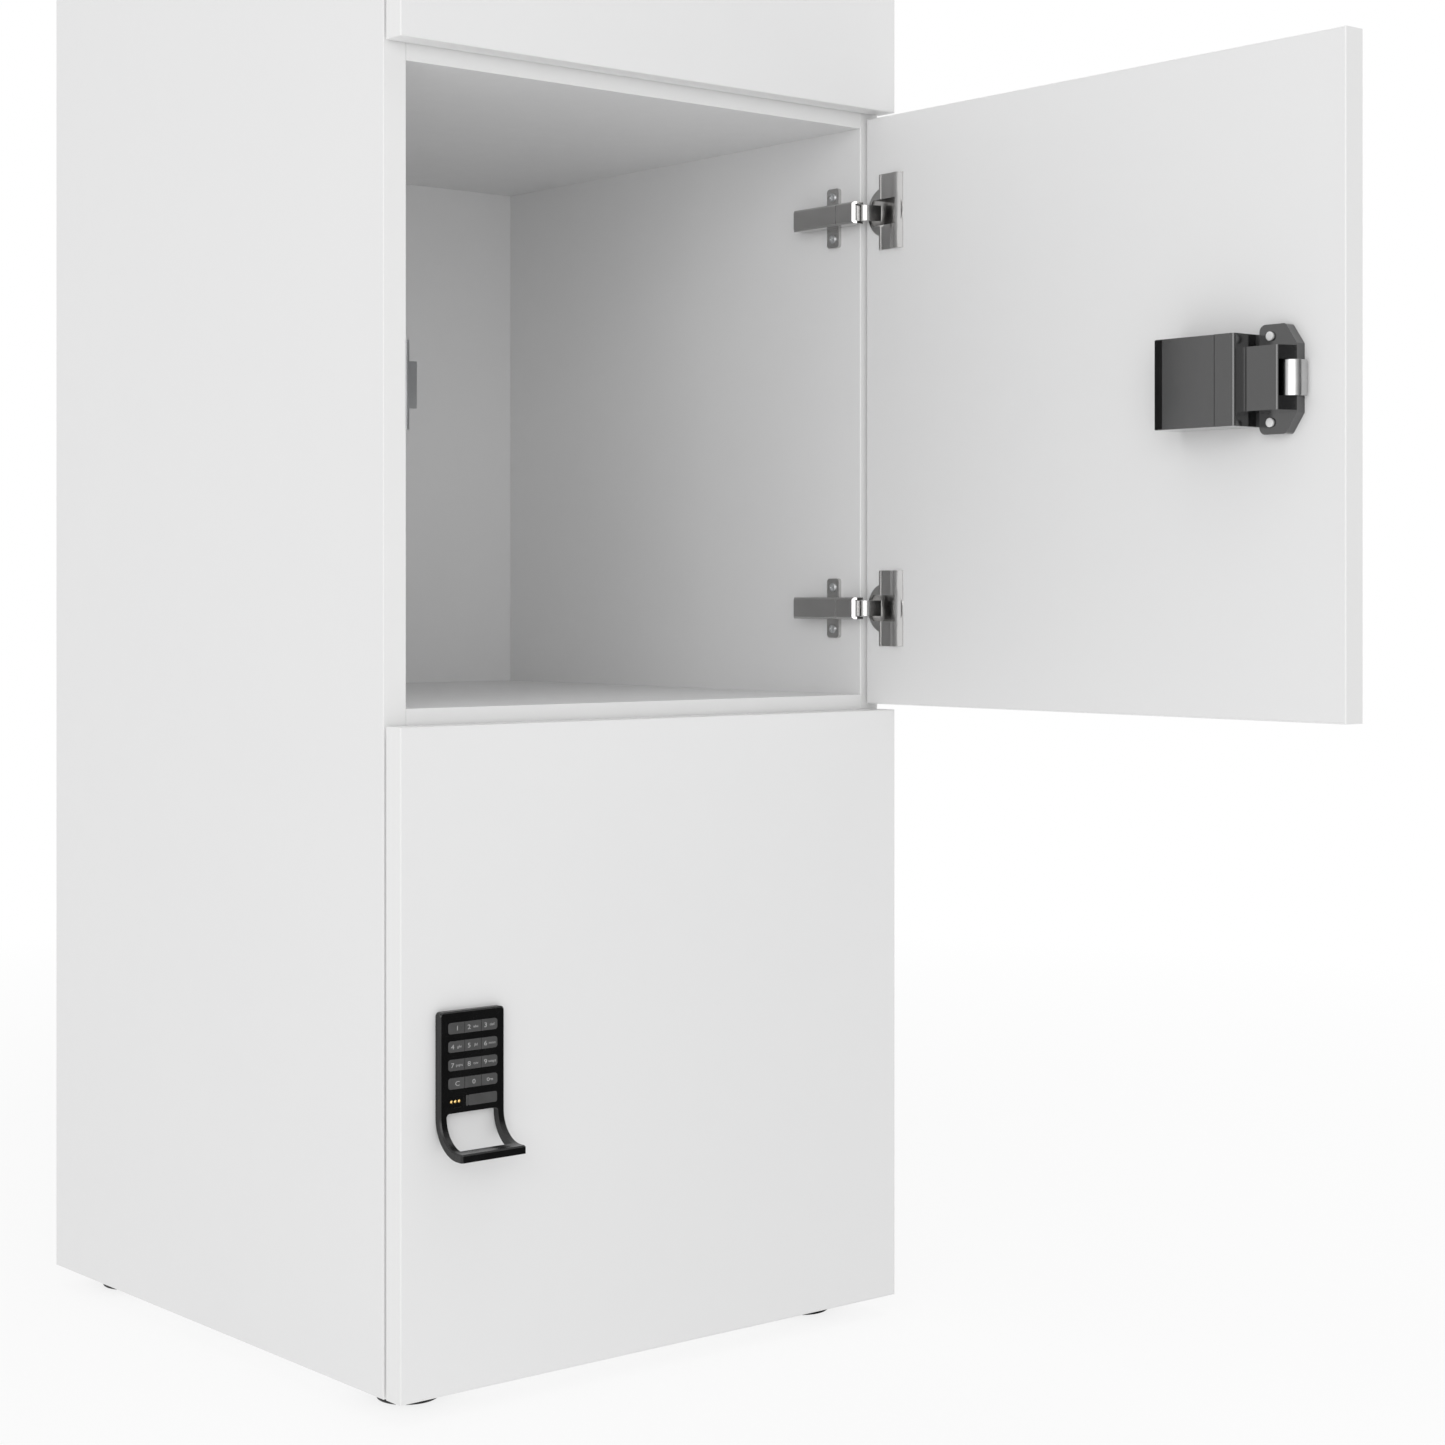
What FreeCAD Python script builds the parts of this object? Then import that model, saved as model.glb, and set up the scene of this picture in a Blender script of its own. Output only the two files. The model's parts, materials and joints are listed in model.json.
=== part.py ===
"""Parcel locker column: three compartments, each with a hinged door and a keypad lock.

Row frame, millimetres: X to the right seen from the front, Y to the rear, Z up.
The origin is at the foot of the carcass's rear face, half way across its width.
Door 1 is the lowest. Doors 1 and 3 rest closed, and door 2 rests open.
"""
import FreeCAD, Part
import os
from math import cos, radians, sin

from FreeCAD import Vector

os.makedirs("parts", exist_ok=True)

# --- carcass -----------------------------------------------------------------
CARCASS_WIDTH = 450.0
CARCASS_DEPTH = 478.0
PANEL = 18.0                    # board thickness
BAND = 1.0                      # edge band thickness
TIERS = 3

# --- doors -------------------------------------------------------------------
DOOR_HEIGHT = 447.5
DOOR_PITCH = 452.0              # 4.5 mm between one door and the next
SIDE_REVEAL = 0.5               # door edge inside the carcass side
FRONT_GAP = 2.0                 # between the carcass front and a closed door
BAND_EDGE_RADIUS = 0.95         # soft outer corners of the door's edge bands
CARCASS_EDGE_RADIUS = 0.6
OPEN_AT_REST = {1: 0.0, 2: 90.0, 3: 0.0}

# --- hinges ------------------------------------------------------------------
PIVOT_FROM_EDGE = 6.3           # door swing axis, from the door's hinge edge
PIVOT_IN_FRONT = 8.2            # and outward from the door's inner face
HINGE_INSET = 73.0              # hinge centre from the door's top and bottom
CUP_RADIUS = 17.5
CUP_DEPTH = 12.0
CUP_WALL = 1.0
CUP_FLOOR = 0.8
CUP_RIM = 1.5                   # rim of the cup outside its bore in the door
CUP_WINDOW_HALF = 9.9           # half height of the cup's opening for the arm
CUP_FROM_EDGE = 21.5            # cup centre from the door's hinge edge
WING_START, WING_END = 15.5, 40.5
WING_HEIGHT = 57.4
WING_BAR = 34.0                 # the solid bar of the wing starts here
WING_THICK = 1.6
WING_FOLD_START, WING_FOLD_END = 17.0, 17.8
WING_FOLD_DEPTH = 0.5
# the bar's rounded back: distance from the door's edge, and height above the door
WING_BACK = ((28.0, 1.6), (30.5, 2.4), (32.5, 2.8), (35.2, 2.5), (38.0, 1.4), (40.1, 0.3))
PLATE_THICK = 2.8
PLATE_HALF_HEIGHT, PLATE_HALF_WIDTH = 22.9, 6.7
RAIL_HALF_HEIGHT = 6.0
RAIL_AHEAD, RAIL_BEHIND = 17.0, 27.0   # rail's ends, from the screw line
PLATE_SCREW_INSET = 28.2        # screw line behind the carcass front
PLATE_SCREW_SPACING = 32.0
ARM_HEIGHT = 16.5
ARM_PROUD = 15.5                # arm's outer face from the side panel
ARM_REAR = 60.5                 # arm's rear end behind the carcass front
ARM_WALL = 1.6
ARM_CHAMFER = 1.4
ARM_SLOT_HALF = 6.4             # half height of the slot for the link
ARM_COVER = 1.2
ARM_COVER_CHAMFER = 0.8
COVER_FRONT = 11.0              # cover's front end behind the carcass front
COVER_GAP = 0.5
NOSE_OUT = 9.5                  # arm's nose ahead of the carcass front
LINK_PIVOT_PROUD = 9.0          # link pivot from the side panel
LINK_PIVOT_OUT = 3.0            # and ahead of the carcass front
LINK_PIN_RADIUS = 1.5
LINK_PIN_LENGTH = 14.8
LINK_EYE_WALL = 1.9
LINK_DROP = 7.8                 # from the pin to the strip inside the cup
LINK_CORNER, LINK_TIP = 3.0, 18.0   # strip's corner and tip, across from the pin
LINK_BEND = 5.0
LINK_ROLL_RADIUS = 1.8
LINK_HEIGHT = 12.0
LINK_THICK = 2.4
LINK_TURN_PER_DOOR_TURN = -0.17

# --- lock, front side --------------------------------------------------------
LOCK_FROM_FREE_EDGE = 28.0      # from the carcass's left face
HANDLE_WIDTH = 52.5
HANDLE_RISE = 33.5              # plate top above the door's middle
HANDLE_PLATE = 5.5              # plate thickness
HANDLE_RAIL = 5.3
HANDLE_CURVE_TOP = 70.0         # where the rails begin to curve, below the top
HANDLE_INNER_RADIUS = 20.6
HANDLE_OUTER_RADIUS = 26.1
HANDLE_REACH = 31.0
HANDLE_LIP = 9.5
HANDLE_CORNER = 3.0
HANDLE_LIP_CORNER = 1.8
HANDLE_CHAMFER = 1.0
WINDOW_TOP = 68.0               # below the plate's top
KEY_ROWS, KEY_COLUMNS = 4, 3
KEY_BLOCK_WIDTH = 39.7
KEY_BLOCK_INSET = 6.6
KEY_HEIGHT = 7.6
KEY_PITCH = 12.3
KEY_TOP = 7.5
KEY_THICK = 3.1
KEY_PROUD = 0.5
KEY_GAP = 0.4
KEY_CLEARANCE = 0.2
KEY_POCKET = 3.5
KEY_END_RADIUS = 2.0
KEY_CHAMFER = 0.25
CONTACT_POCKET_WIDTH, CONTACT_POCKET_DEPTH = 12.6, 1.0
BAR_POCKET_START, BAR_POCKET_DEPTH = 14.2, 0.8
KEY_NAMES = ("1", "2", "3", "4", "5", "6", "7", "8", "9", "clear", "0", "enter")

# --- lock, rear side ---------------------------------------------------------
# distances along the door are from the carcass's left face, at a closed door
BASE_START, EAR_END = 33.1, 63.8
BASE_BLOCK_END, BOX_SEAM, BOX_END = 68.4, 84.4, 138.5
EAR_HALF_HEIGHT = 36.0
EAR_THICK = 8.0
EAR_CHAMFER_ALONG, EAR_CHAMFER_UP = 9.3, 13.5
BLOCK_HALF_HEIGHT = 21.0
BLOCK_DEPTH = 22.5
BLOCK_LEAN = 5.1                # how far the case's front leans back at the top
GROOVE_START, GROOVE_END, GROOVE_DEPTH = 62.5, 64.1, 1.0
CASE_EDGE_RADIUS = 2.5
BOX_HALF_HEIGHT = 30.4
BOX_DEPTH = 28.5
BOX_WALL = 2.0
BOX_SEAM_GAP = 0.4
BOX_END_RADIUS = 5.0
LOCK_SCREW_SPACING = 56.4
LOCK_SCREW_RADIUS = 2.0
LOCK_SCREW_HEAD_RADIUS, LOCK_SCREW_HEAD = 2.8, 1.6
LOCK_SCREW_IN_HANDLE = 4.0
CABLE_RADIUS = 6.0
BOLT_HEIGHT = 23.6
BOLT_LOW, BOLT_HIGH = 2.0, 15.0   # from the door's inner face
BOLT_TIP = 3.6                  # stands out of the base when withdrawn
BOLT_LENGTH = 24.0
BOLT_CURVE = 9.0                # the bolt's nose rounds off over this length
BOLT_SLACK = 1.0                # free length behind the withdrawn bolt
BOLT_MOUTH = 13.0               # the mouth above the bolt, from the base's start
BOLT_MOUTH_ROOF = 1.5

# --- keeper on the left panel ------------------------------------------------
STRIKE_THICK = 2.0
STRIKE_HEIGHT = 60.0
STRIKE_LENGTH = 26.0
STRIKE_LIP = 8.0
STRIKE_LIP_THICK = 0.8
STRIKE_AHEAD = 1.0              # ahead of the carcass front, in the door gap
STRIKE_CORNER = 3.0
STRIKE_SCREW_INSET = 18.0       # behind the carcass front
STRIKE_SCREW_FROM_END = 8.0

# --- feet --------------------------------------------------------------------
FOOT_RADIUS = 21.5
FOOT_HEIGHT = 15.0
FOOT_INSET_X = 45.0
FOOT_INSET_Y = 39.0
FOOT_ROUND = 1.5
FOOT_CLEAR = 1.0                # between the foot's disc and the carcass
STEM_RADIUS = 5.0
STEM_LENGTH = 26.0
SOCKET_WALL = 2.0

# --- fixings -----------------------------------------------------------------
DOWEL_RADIUS = 4.0
DOWEL_IN_SIDE = 12.0
DOWEL_IN_SHELF = 18.0
DOWEL_FROM_FRONT, DOWEL_FROM_REAR = 48.0, 66.0
RUN_CLEARANCE = 0.1
SCREW_RADIUS = 1.8
SCREW_LENGTH = 13.0
SCREW_HEAD_RADIUS, SCREW_HEAD, SCREW_HEAD_ROUND = 3.3, 1.1, 0.5
SCREW_CROSS, SCREW_CROSS_WIDTH, SCREW_CROSS_DEPTH = 4.2, 0.9, 0.7

# --- worked out from the above -----------------------------------------------
HALF_WIDTH = CARCASS_WIDTH / 2
CARCASS_HEIGHT = (TIERS - 1) * DOOR_PITCH + DOOR_HEIGHT
FRONT = -CARCASS_DEPTH
INNER_X = HALF_WIDTH - PANEL
DOOR_GAP = DOOR_PITCH - DOOR_HEIGHT
DOOR_IN = FRONT - FRONT_GAP
DOOR_OUT = DOOR_IN - PANEL
DOOR_HINGE_EDGE = HALF_WIDTH - SIDE_REVEAL
PIVOT = Vector(DOOR_HINGE_EDGE - PIVOT_FROM_EDGE, DOOR_IN - PIVOT_IN_FRONT, 0)
LINK_PIVOT = Vector(INNER_X - LINK_PIVOT_PROUD, FRONT - LINK_PIVOT_OUT, 0)
LOCK_SCREW_X = LOCK_FROM_FREE_EDGE + HANDLE_WIDTH / 2 - HALF_WIDTH
ALONG_X, ALONG_Y, ALONG_Z = Vector(1, 0, 0), Vector(0, 1, 0), Vector(0, 0, 1)


# --- helpers -----------------------------------------------------------------
def box(x0, x1, y0, y1, z0, z1):
    """Box between the given limits."""
    return Part.makeBox(x1 - x0, y1 - y0, z1 - z0, Vector(x0, y0, z0))


def rod(start, direction, radius, length):
    """Cylinder from start along direction."""
    return Part.makeCylinder(radius, length, start, direction)


def fused(*shapes):
    """One solid from several touching ones."""
    return shapes[0].multiFuse(list(shapes[1:])).removeSplitter()


def loop(*edges):
    """Flat face inside the given edges."""
    return Part.Face(Part.Wire(Part.__sortEdges__(list(edges))))


def polygon(points):
    """Flat face inside straight edges."""
    return Part.Face(Part.makePolygon(list(points) + [points[0]]))


def line(start, end):
    return Part.makeLine(start, end)


def arc(start, middle, end):
    return Part.Arc(start, middle, end).toShape()


def straight_edges(shape, direction, keep):
    """Edges of shape that run along direction and whose middle passes keep."""
    chosen = []
    for edge in shape.Edges:
        if len(edge.Vertexes) != 2 or edge.Curve.TypeId != "Part::GeomLine":
            continue
        if abs(abs(edge.Curve.Direction.dot(direction)) - 1) < 1e-6 and keep(edge.CenterOfMass):
            chosen.append(edge)
    return chosen


def rounded(shape, radius, direction, keep=lambda middle: True):
    """Shape with those of its straight edges rounded."""
    return shape.makeFillet(radius, straight_edges(shape, direction, keep))


def mirrored(shape):
    """The same shape on the other side of the X = 0 plane."""
    return shape.mirror(Vector(0, 0, 0), ALONG_X)


def export(name, *solids):
    """Write one node: a single solid, or a group of separate solids."""
    shape = solids[0] if len(solids) == 1 else Part.makeCompound(list(solids))
    shape.exportStep("parts/" + name + ".step")


# --- tiers -------------------------------------------------------------------
def door_bottom(tier):
    return (tier - 1) * DOOR_PITCH


def door_middle(tier):
    return door_bottom(tier) + DOOR_HEIGHT / 2


def hinge_heights(tier):
    low = door_bottom(tier)
    return (low + HINGE_INSET, low + DOOR_HEIGHT - HINGE_INSET)


def with_door(shape, tier):
    """Turn a shape, made at the closed door, to where the door rests."""
    turned = shape.copy()
    turned.rotate(PIVOT, ALONG_Z, OPEN_AT_REST[tier])
    return turned


def with_link(shape, tier):
    """Turn a shape, made at the closed door, to where the hinge link rests."""
    turned = shape.copy()
    turned.rotate(LINK_PIVOT, ALONG_Z, OPEN_AT_REST[tier] * LINK_TURN_PER_DOOR_TURN)
    return turned


# --- carcass -----------------------------------------------------------------
def board_heights():
    """Underside of the bottom, each shelf and the top, with its node name."""
    names = ("bottom_panel", "shelf_lower", "shelf_upper", "top_panel")
    shelves = [tier * DOOR_PITCH - DOOR_GAP / 2 - PANEL / 2 for tier in range(1, TIERS)]
    return list(zip(names, [0.0] + shelves + [CARCASS_HEIGHT - PANEL]))


def dowel_places():
    """Points on the right panel's inner face where dowels go through."""
    places = []
    for _, low in board_heights():
        for y in (FRONT + DOWEL_FROM_FRONT, -DOWEL_FROM_REAR):
            places.append(Vector(INNER_X, y, low + PANEL / 2))
    return places


def dowel_hole(place):
    start = place - ALONG_X * (DOWEL_IN_SHELF + 1)
    return rod(start, ALONG_X, DOWEL_RADIUS + RUN_CLEARANCE / 2, DOWEL_IN_SHELF + DOWEL_IN_SIDE + 2)


def dowel(place):
    start = place - ALONG_X * DOWEL_IN_SHELF
    return rod(start, ALONG_X, DOWEL_RADIUS, DOWEL_IN_SHELF + DOWEL_IN_SIDE)


def panel_screw_places():
    """Heads of the hinge plate screws, on the right panel's inner face."""
    places = []
    for tier in range(1, TIERS + 1):
        for height in hinge_heights(tier):
            for side in (-1, 1):
                z = height + side * PLATE_SCREW_SPACING / 2
                places.append(Vector(INNER_X, FRONT + PLATE_SCREW_INSET, z))
    return places


def side_panel():
    """Right side panel, without the fittings' holes."""
    panel = box(INNER_X, HALF_WIDTH, FRONT + BAND, 0, 0, CARCASS_HEIGHT)
    return panel.cut([dowel_hole(place) for place in dowel_places()])


def screw_hole(place, direction):
    return rod(place - direction, direction, SCREW_RADIUS + RUN_CLEARANCE / 2, SCREW_LENGTH + 1)


def build_sides():
    right = side_panel().cut([screw_hole(p, ALONG_X) for p in panel_screw_places()])
    left = mirrored(side_panel()).cut([screw_hole(p, -ALONG_X) for p in strike_screw_places()])
    export("side_panel_right", right)
    export("side_panel_left", left)


def build_boards():
    holes = [dowel_hole(place) for place in dowel_places()]
    holes += [mirrored(hole) for hole in holes]
    for name, low in board_heights():
        board = box(-INNER_X, INNER_X, FRONT + BAND, -PANEL, low, low + PANEL)
        if name == "bottom_panel":
            holes += [foot_socket_hole(x, y) for x, y in foot_places()]
        export(name, board.cut(holes))
    export("back_panel", box(-INNER_X, INNER_X, -PANEL, 0, 0, CARCASS_HEIGHT))


def build_carcass_bands():
    """Edge band strips on the carcass's front edges, with a soft front edge."""
    right = box(INNER_X, HALF_WIDTH, FRONT, FRONT + BAND, 0, CARCASS_HEIGHT)
    right = rounded(right, CARCASS_EDGE_RADIUS, ALONG_Z, lambda m: m.y < FRONT + 0.1)
    bands = [right, mirrored(right)]
    for _, low in board_heights():
        bands.append(box(-INNER_X, INNER_X, FRONT, FRONT + BAND, low, low + PANEL))
    export("carcass_edge_bands", *bands)


def build_dowels():
    dowels = [dowel(place) for place in dowel_places()]
    export("carcass_dowels", *(dowels + [mirrored(d) for d in dowels]))


# --- feet --------------------------------------------------------------------
def foot_places():
    xs = (-HALF_WIDTH + FOOT_INSET_X, HALF_WIDTH - FOOT_INSET_X)
    ys = (FRONT + FOOT_INSET_Y, -FOOT_INSET_Y)
    return [(x, y) for y in ys for x in xs]


def foot_socket_hole(x, y):
    return rod(Vector(x, y, -1), ALONG_Z, STEM_RADIUS + SOCKET_WALL, PANEL + 2)


def foot_socket(x, y):
    """Flanged sleeve in the bottom panel, for the foot's stem."""
    sleeve = rod(Vector(x, y, 0), ALONG_Z, STEM_RADIUS + SOCKET_WALL - RUN_CLEARANCE / 2, PANEL)
    return sleeve.cut(rod(Vector(x, y, -1), ALONG_Z, STEM_RADIUS + RUN_CLEARANCE / 2, PANEL + 2))


def foot(x, y):
    """Round glide with a bevelled rim, on its stem."""
    disc = rod(Vector(x, y, -FOOT_HEIGHT), ALONG_Z, FOOT_RADIUS, FOOT_HEIGHT - FOOT_CLEAR)
    rims = [edge for edge in disc.Edges if len(edge.Vertexes) == 1]
    disc = disc.makeFillet(FOOT_ROUND, rims)
    return disc.fuse(rod(Vector(x, y, -FOOT_HEIGHT / 2), ALONG_Z, STEM_RADIUS, STEM_LENGTH))


def build_feet():
    names = ("front_left", "front_right", "rear_left", "rear_right")
    for name, (x, y) in zip(names, foot_places()):
        export("foot_" + name, foot(x, y))
    export("foot_sockets", *[foot_socket(x, y) for x, y in foot_places()])


# --- hinges ------------------------------------------------------------------
def rounded_plate(y0, y1, z0, z1, radius):
    """Plate standing on the right panel's inner face."""
    plate = box(INNER_X - PLATE_THICK, INNER_X, y0, y1, z0, z1)
    return rounded(plate, radius, ALONG_X)


def mounting_plate(height):
    """Cross-shaped plate: upright wings for the screws and a rail for the arm."""
    line_y = FRONT + PLATE_SCREW_INSET
    wings = rounded_plate(line_y - PLATE_HALF_WIDTH, line_y + PLATE_HALF_WIDTH,
                          height - PLATE_HALF_HEIGHT, height + PLATE_HALF_HEIGHT, 2.5)
    rail = rounded_plate(line_y - RAIL_AHEAD, line_y + RAIL_BEHIND,
                         height - RAIL_HALF_HEIGHT, height + RAIL_HALF_HEIGHT, 1.5)
    plate = wings.fuse(rail).removeSplitter()
    holes = []
    for side in (-1, 1):
        at = Vector(INNER_X - PLATE_THICK - 1, line_y, height + side * PLATE_SCREW_SPACING / 2)
        holes.append(rod(at, ALONG_X, SCREW_RADIUS + RUN_CLEARANCE / 2, PLATE_THICK + 2))
    return plate.cut(holes)


def pan_screw(place, direction, head_on):
    """Screw whose head stands on a fitting of thickness head_on."""
    top = place - direction * (head_on + SCREW_HEAD)
    shank = rod(place - direction * head_on, direction, SCREW_RADIUS, SCREW_LENGTH - 1 + head_on)
    head = rod(top, direction, SCREW_HEAD_RADIUS, SCREW_HEAD)
    rim = [edge for edge in head.Edges if len(edge.Vertexes) == 1 and (edge.CenterOfMass - top).Length < 0.01]
    head = head.makeFillet(SCREW_HEAD_ROUND, rim)
    deep, half, arm_half = SCREW_CROSS_DEPTH, SCREW_CROSS_WIDTH / 2, SCREW_CROSS / 2
    cross = box(-deep, deep, -half, half, -arm_half, arm_half)
    cross = cross.fuse(box(-deep, deep, -arm_half, arm_half, -half, half))
    cross.translate(top)
    return head.fuse(shank).cut(cross)


def arm(height):
    """Channel-shaped arm with a bevelled nose, slotted for the link, and its pin."""
    outer = INNER_X - ARM_PROUD
    inner = INNER_X - PLATE_THICK
    rear, nose = FRONT + ARM_REAR, FRONT - NOSE_OUT
    half = ARM_HEIGHT / 2
    outline = [
        Vector(outer, rear, 0), Vector(outer, nose + 2.5, 0), Vector(outer + 3.2, nose, 0),
        Vector(outer + 9.5, nose, 0), Vector(outer + 10.5, FRONT, 0), Vector(inner, FRONT + 3, 0),
        Vector(inner, rear - 3, 0), Vector(inner - 2, rear, 0)]
    body = polygon(outline).extrude(ALONG_Z * ARM_HEIGHT)
    body.translate(ALONG_Z * (height - half))
    body = body.makeChamfer(ARM_CHAMFER, straight_edges(body, ALONG_Y, lambda m: m.x < outer + 0.1))
    inside = half - ARM_WALL
    hollow = box(outer + ARM_WALL + ARM_COVER, inner + 1, FRONT + 3, rear - ARM_WALL,
                 height - inside, height + inside)
    slot = box(outer + 2.2, inner + 1, nose - 1, FRONT + 3.5,
               height - ARM_SLOT_HALF, height + ARM_SLOT_HALF)
    seat = box(outer - 1, outer + ARM_COVER, FRONT + COVER_FRONT, rear + 1,
               height - half - 1, height + half + 1)
    pin_start = LINK_PIVOT + ALONG_Z * (height - LINK_PIN_LENGTH / 2)
    pin = rod(pin_start, ALONG_Z, LINK_PIN_RADIUS, LINK_PIN_LENGTH)
    return body.cut([hollow, slot, seat]).fuse(pin)


def arm_cover(height):
    """Cap that lies in the arm's seat, flush with its nose."""
    outer = INNER_X - ARM_PROUD
    cap = box(outer, outer + ARM_COVER, FRONT + COVER_FRONT + COVER_GAP, FRONT + ARM_REAR,
              height - ARM_HEIGHT / 2 + 0.6, height + ARM_HEIGHT / 2 - 0.6)
    cap = rounded(cap, 1.5, ALONG_X, lambda m: m.y > FRONT + ARM_REAR - 1)
    return cap.makeChamfer(ARM_COVER_CHAMFER, straight_edges(cap, ALONG_Y, lambda m: m.x < outer + 0.1))


def link(height):
    """Bent strip from the arm's pin into the cup, with a rolled end at each side."""
    half = LINK_THICK / 2
    level = LINK_PIVOT.y - LINK_DROP
    corner_x, tip_x = LINK_PIVOT.x + LINK_CORNER, LINK_PIVOT.x + LINK_TIP
    turn = Vector(corner_x + LINK_BEND, level + LINK_BEND, 0)

    def on_bend(radius, degrees):
        return turn + Vector(cos(radians(degrees)), sin(radians(degrees)), 0) * radius

    wide, narrow = LINK_BEND + half, LINK_BEND - half
    top_y = LINK_PIVOT.y
    strip = loop(
        line(Vector(corner_x - half, top_y, 0), on_bend(wide, 180)),
        arc(on_bend(wide, 180), on_bend(wide, 225), on_bend(wide, 270)),
        line(on_bend(wide, 270), Vector(tip_x, level - half, 0)),
        line(Vector(tip_x, level - half, 0), Vector(tip_x, level + half, 0)),
        line(Vector(tip_x, level + half, 0), on_bend(narrow, 270)),
        arc(on_bend(narrow, 270), on_bend(narrow, 225), on_bend(narrow, 180)),
        line(on_bend(narrow, 180), Vector(corner_x + half, top_y, 0)),
        line(Vector(corner_x + half, top_y, 0), Vector(corner_x - half, top_y, 0)))
    strip = strip.extrude(ALONG_Z * LINK_HEIGHT)
    eye = rod(LINK_PIVOT, ALONG_Z, LINK_PIN_RADIUS + LINK_EYE_WALL, LINK_HEIGHT)
    roll_at = Vector(tip_x, level + LINK_ROLL_RADIUS - half, 0)
    roll = rod(roll_at, ALONG_Z, LINK_ROLL_RADIUS, LINK_HEIGHT)
    hole = rod(LINK_PIVOT - ALONG_Z, ALONG_Z, LINK_PIN_RADIUS + RUN_CLEARANCE / 2, LINK_HEIGHT + 2)
    whole = fused(strip, eye, roll).cut(hole)
    whole.translate(ALONG_Z * (height - LINK_HEIGHT / 2))
    return whole


def on_door(from_edge, proud, z):
    """Point on or near a closed door's inner face, from its hinge edge."""
    return Vector(DOOR_HINGE_EDGE - from_edge, DOOR_IN + proud, z)


def wing_bar(height):
    """Upright wing of the cup: a fold near the cup, then a bar with a rounded back."""
    low = height - WING_HEIGHT / 2

    def at(from_edge, proud):
        return on_door(from_edge, proud, low)

    back = Part.BSplineCurve()
    back.interpolate([at(*point) for point in WING_BACK])
    outline = loop(
        line(at(WING_START, 0), at(WING_START, WING_THICK)),
        line(at(WING_START, WING_THICK), at(*WING_BACK[0])),
        back.toShape(),
        line(at(*WING_BACK[-1]), at(WING_END, WING_BACK[-1][1])),
        line(at(WING_END, WING_BACK[-1][1]), at(WING_END, 0)),
        line(at(WING_END, 0), at(WING_START, 0)))
    wing = outline.extrude(ALONG_Z * WING_HEIGHT)
    outer_face = DOOR_IN + WING_THICK
    fold = box(DOOR_HINGE_EDGE - WING_FOLD_END, DOOR_HINGE_EDGE - WING_FOLD_START,
               outer_face - WING_FOLD_DEPTH, outer_face + 1, low - 1, low + WING_HEIGHT + 1)
    return wing.cut(fold)


def cup(height):
    """Pressed cup let into the door: a disc with a window for the arm, and its wing."""
    centre = on_door(CUP_FROM_EDGE, 0, height)
    shell = rod(centre - ALONG_Y * CUP_DEPTH, ALONG_Y, CUP_RADIUS, CUP_DEPTH)
    rim = rod(centre, ALONG_Y, CUP_RADIUS + CUP_RIM, 1.0)
    whole = fused(shell, rim, wing_bar(height))
    inside = CUP_RADIUS - CUP_WALL
    hollow = rod(centre - ALONG_Y * (CUP_DEPTH - CUP_FLOOR), ALONG_Y, inside, CUP_DEPTH + 6)
    window = box(centre.x - inside, centre.x + inside, DOOR_IN - CUP_DEPTH, DOOR_IN + 9,
                 height - CUP_WINDOW_HALF, height + CUP_WINDOW_HALF)
    beyond = DOOR_HINGE_EDGE - WING_BAR
    keep_bar = box(beyond - 10, beyond, DOOR_IN, DOOR_IN + 9, height - 30, height + 30)
    return whole.cut(hollow.common(window).cut(keep_bar))


def build_hinges():
    tiers = range(1, TIERS + 1)
    heights = [height for tier in tiers for height in hinge_heights(tier)]
    export("hinge_mounting_plates", *[mounting_plate(height) for height in heights])
    export("hinge_arms", *[arm(height) for height in heights])
    export("hinge_arm_covers", *[arm_cover(height) for height in heights])
    for tier in tiers:
        links = [with_link(link(height), tier) for height in hinge_heights(tier)]
        export("hinge_links_%d" % tier, *links)
        cups = [with_door(cup(height), tier) for height in hinge_heights(tier)]
        export("door_%d_hinge_cups" % tier, *cups)


# --- keepers -----------------------------------------------------------------
def strike_screw_places():
    places = []
    for tier in range(1, TIERS + 1):
        for side in (-1, 1):
            z = door_middle(tier) + side * (STRIKE_HEIGHT / 2 - STRIKE_SCREW_FROM_END)
            places.append(Vector(-INNER_X, FRONT + STRIKE_SCREW_INSET, z))
    return places


def strike(tier):
    """Angle on the left panel: its lip stands in front of the thrown bolt."""
    middle = door_middle(tier)
    low, high = middle - STRIKE_HEIGHT / 2, middle + STRIKE_HEIGHT / 2
    start = FRONT - STRIKE_AHEAD
    base = box(-INNER_X, -INNER_X + STRIKE_THICK, start, start + STRIKE_LENGTH, low, high)
    base = rounded(base, STRIKE_CORNER, ALONG_X, lambda m: m.y > FRONT)
    lip_low, lip_high = middle - BOLT_HEIGHT / 2 - 4, middle + BOLT_HEIGHT / 2 + 4
    lip = box(-INNER_X, -INNER_X + STRIKE_LIP, start, start + STRIKE_LIP_THICK, lip_low, lip_high)
    angle = fused(base, lip)
    holes = []
    for place in strike_screw_places():
        holes.append(rod(place - ALONG_X, ALONG_X, SCREW_RADIUS + RUN_CLEARANCE / 2, STRIKE_THICK + 2))
    return angle.cut(holes)


def build_carcass_fittings():
    export("strike_plates", *[strike(tier) for tier in range(1, TIERS + 1)])
    screws = [pan_screw(place, ALONG_X, PLATE_THICK) for place in panel_screw_places()]
    screws += [pan_screw(place, -ALONG_X, STRIKE_THICK) for place in strike_screw_places()]
    export("carcass_fitting_screws", *screws)


# --- doors -------------------------------------------------------------------
def lock_screw_places(tier):
    middle = door_middle(tier)
    return [Vector(LOCK_SCREW_X, DOOR_IN, middle + side * LOCK_SCREW_SPACING / 2) for side in (-1, 1)]


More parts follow.
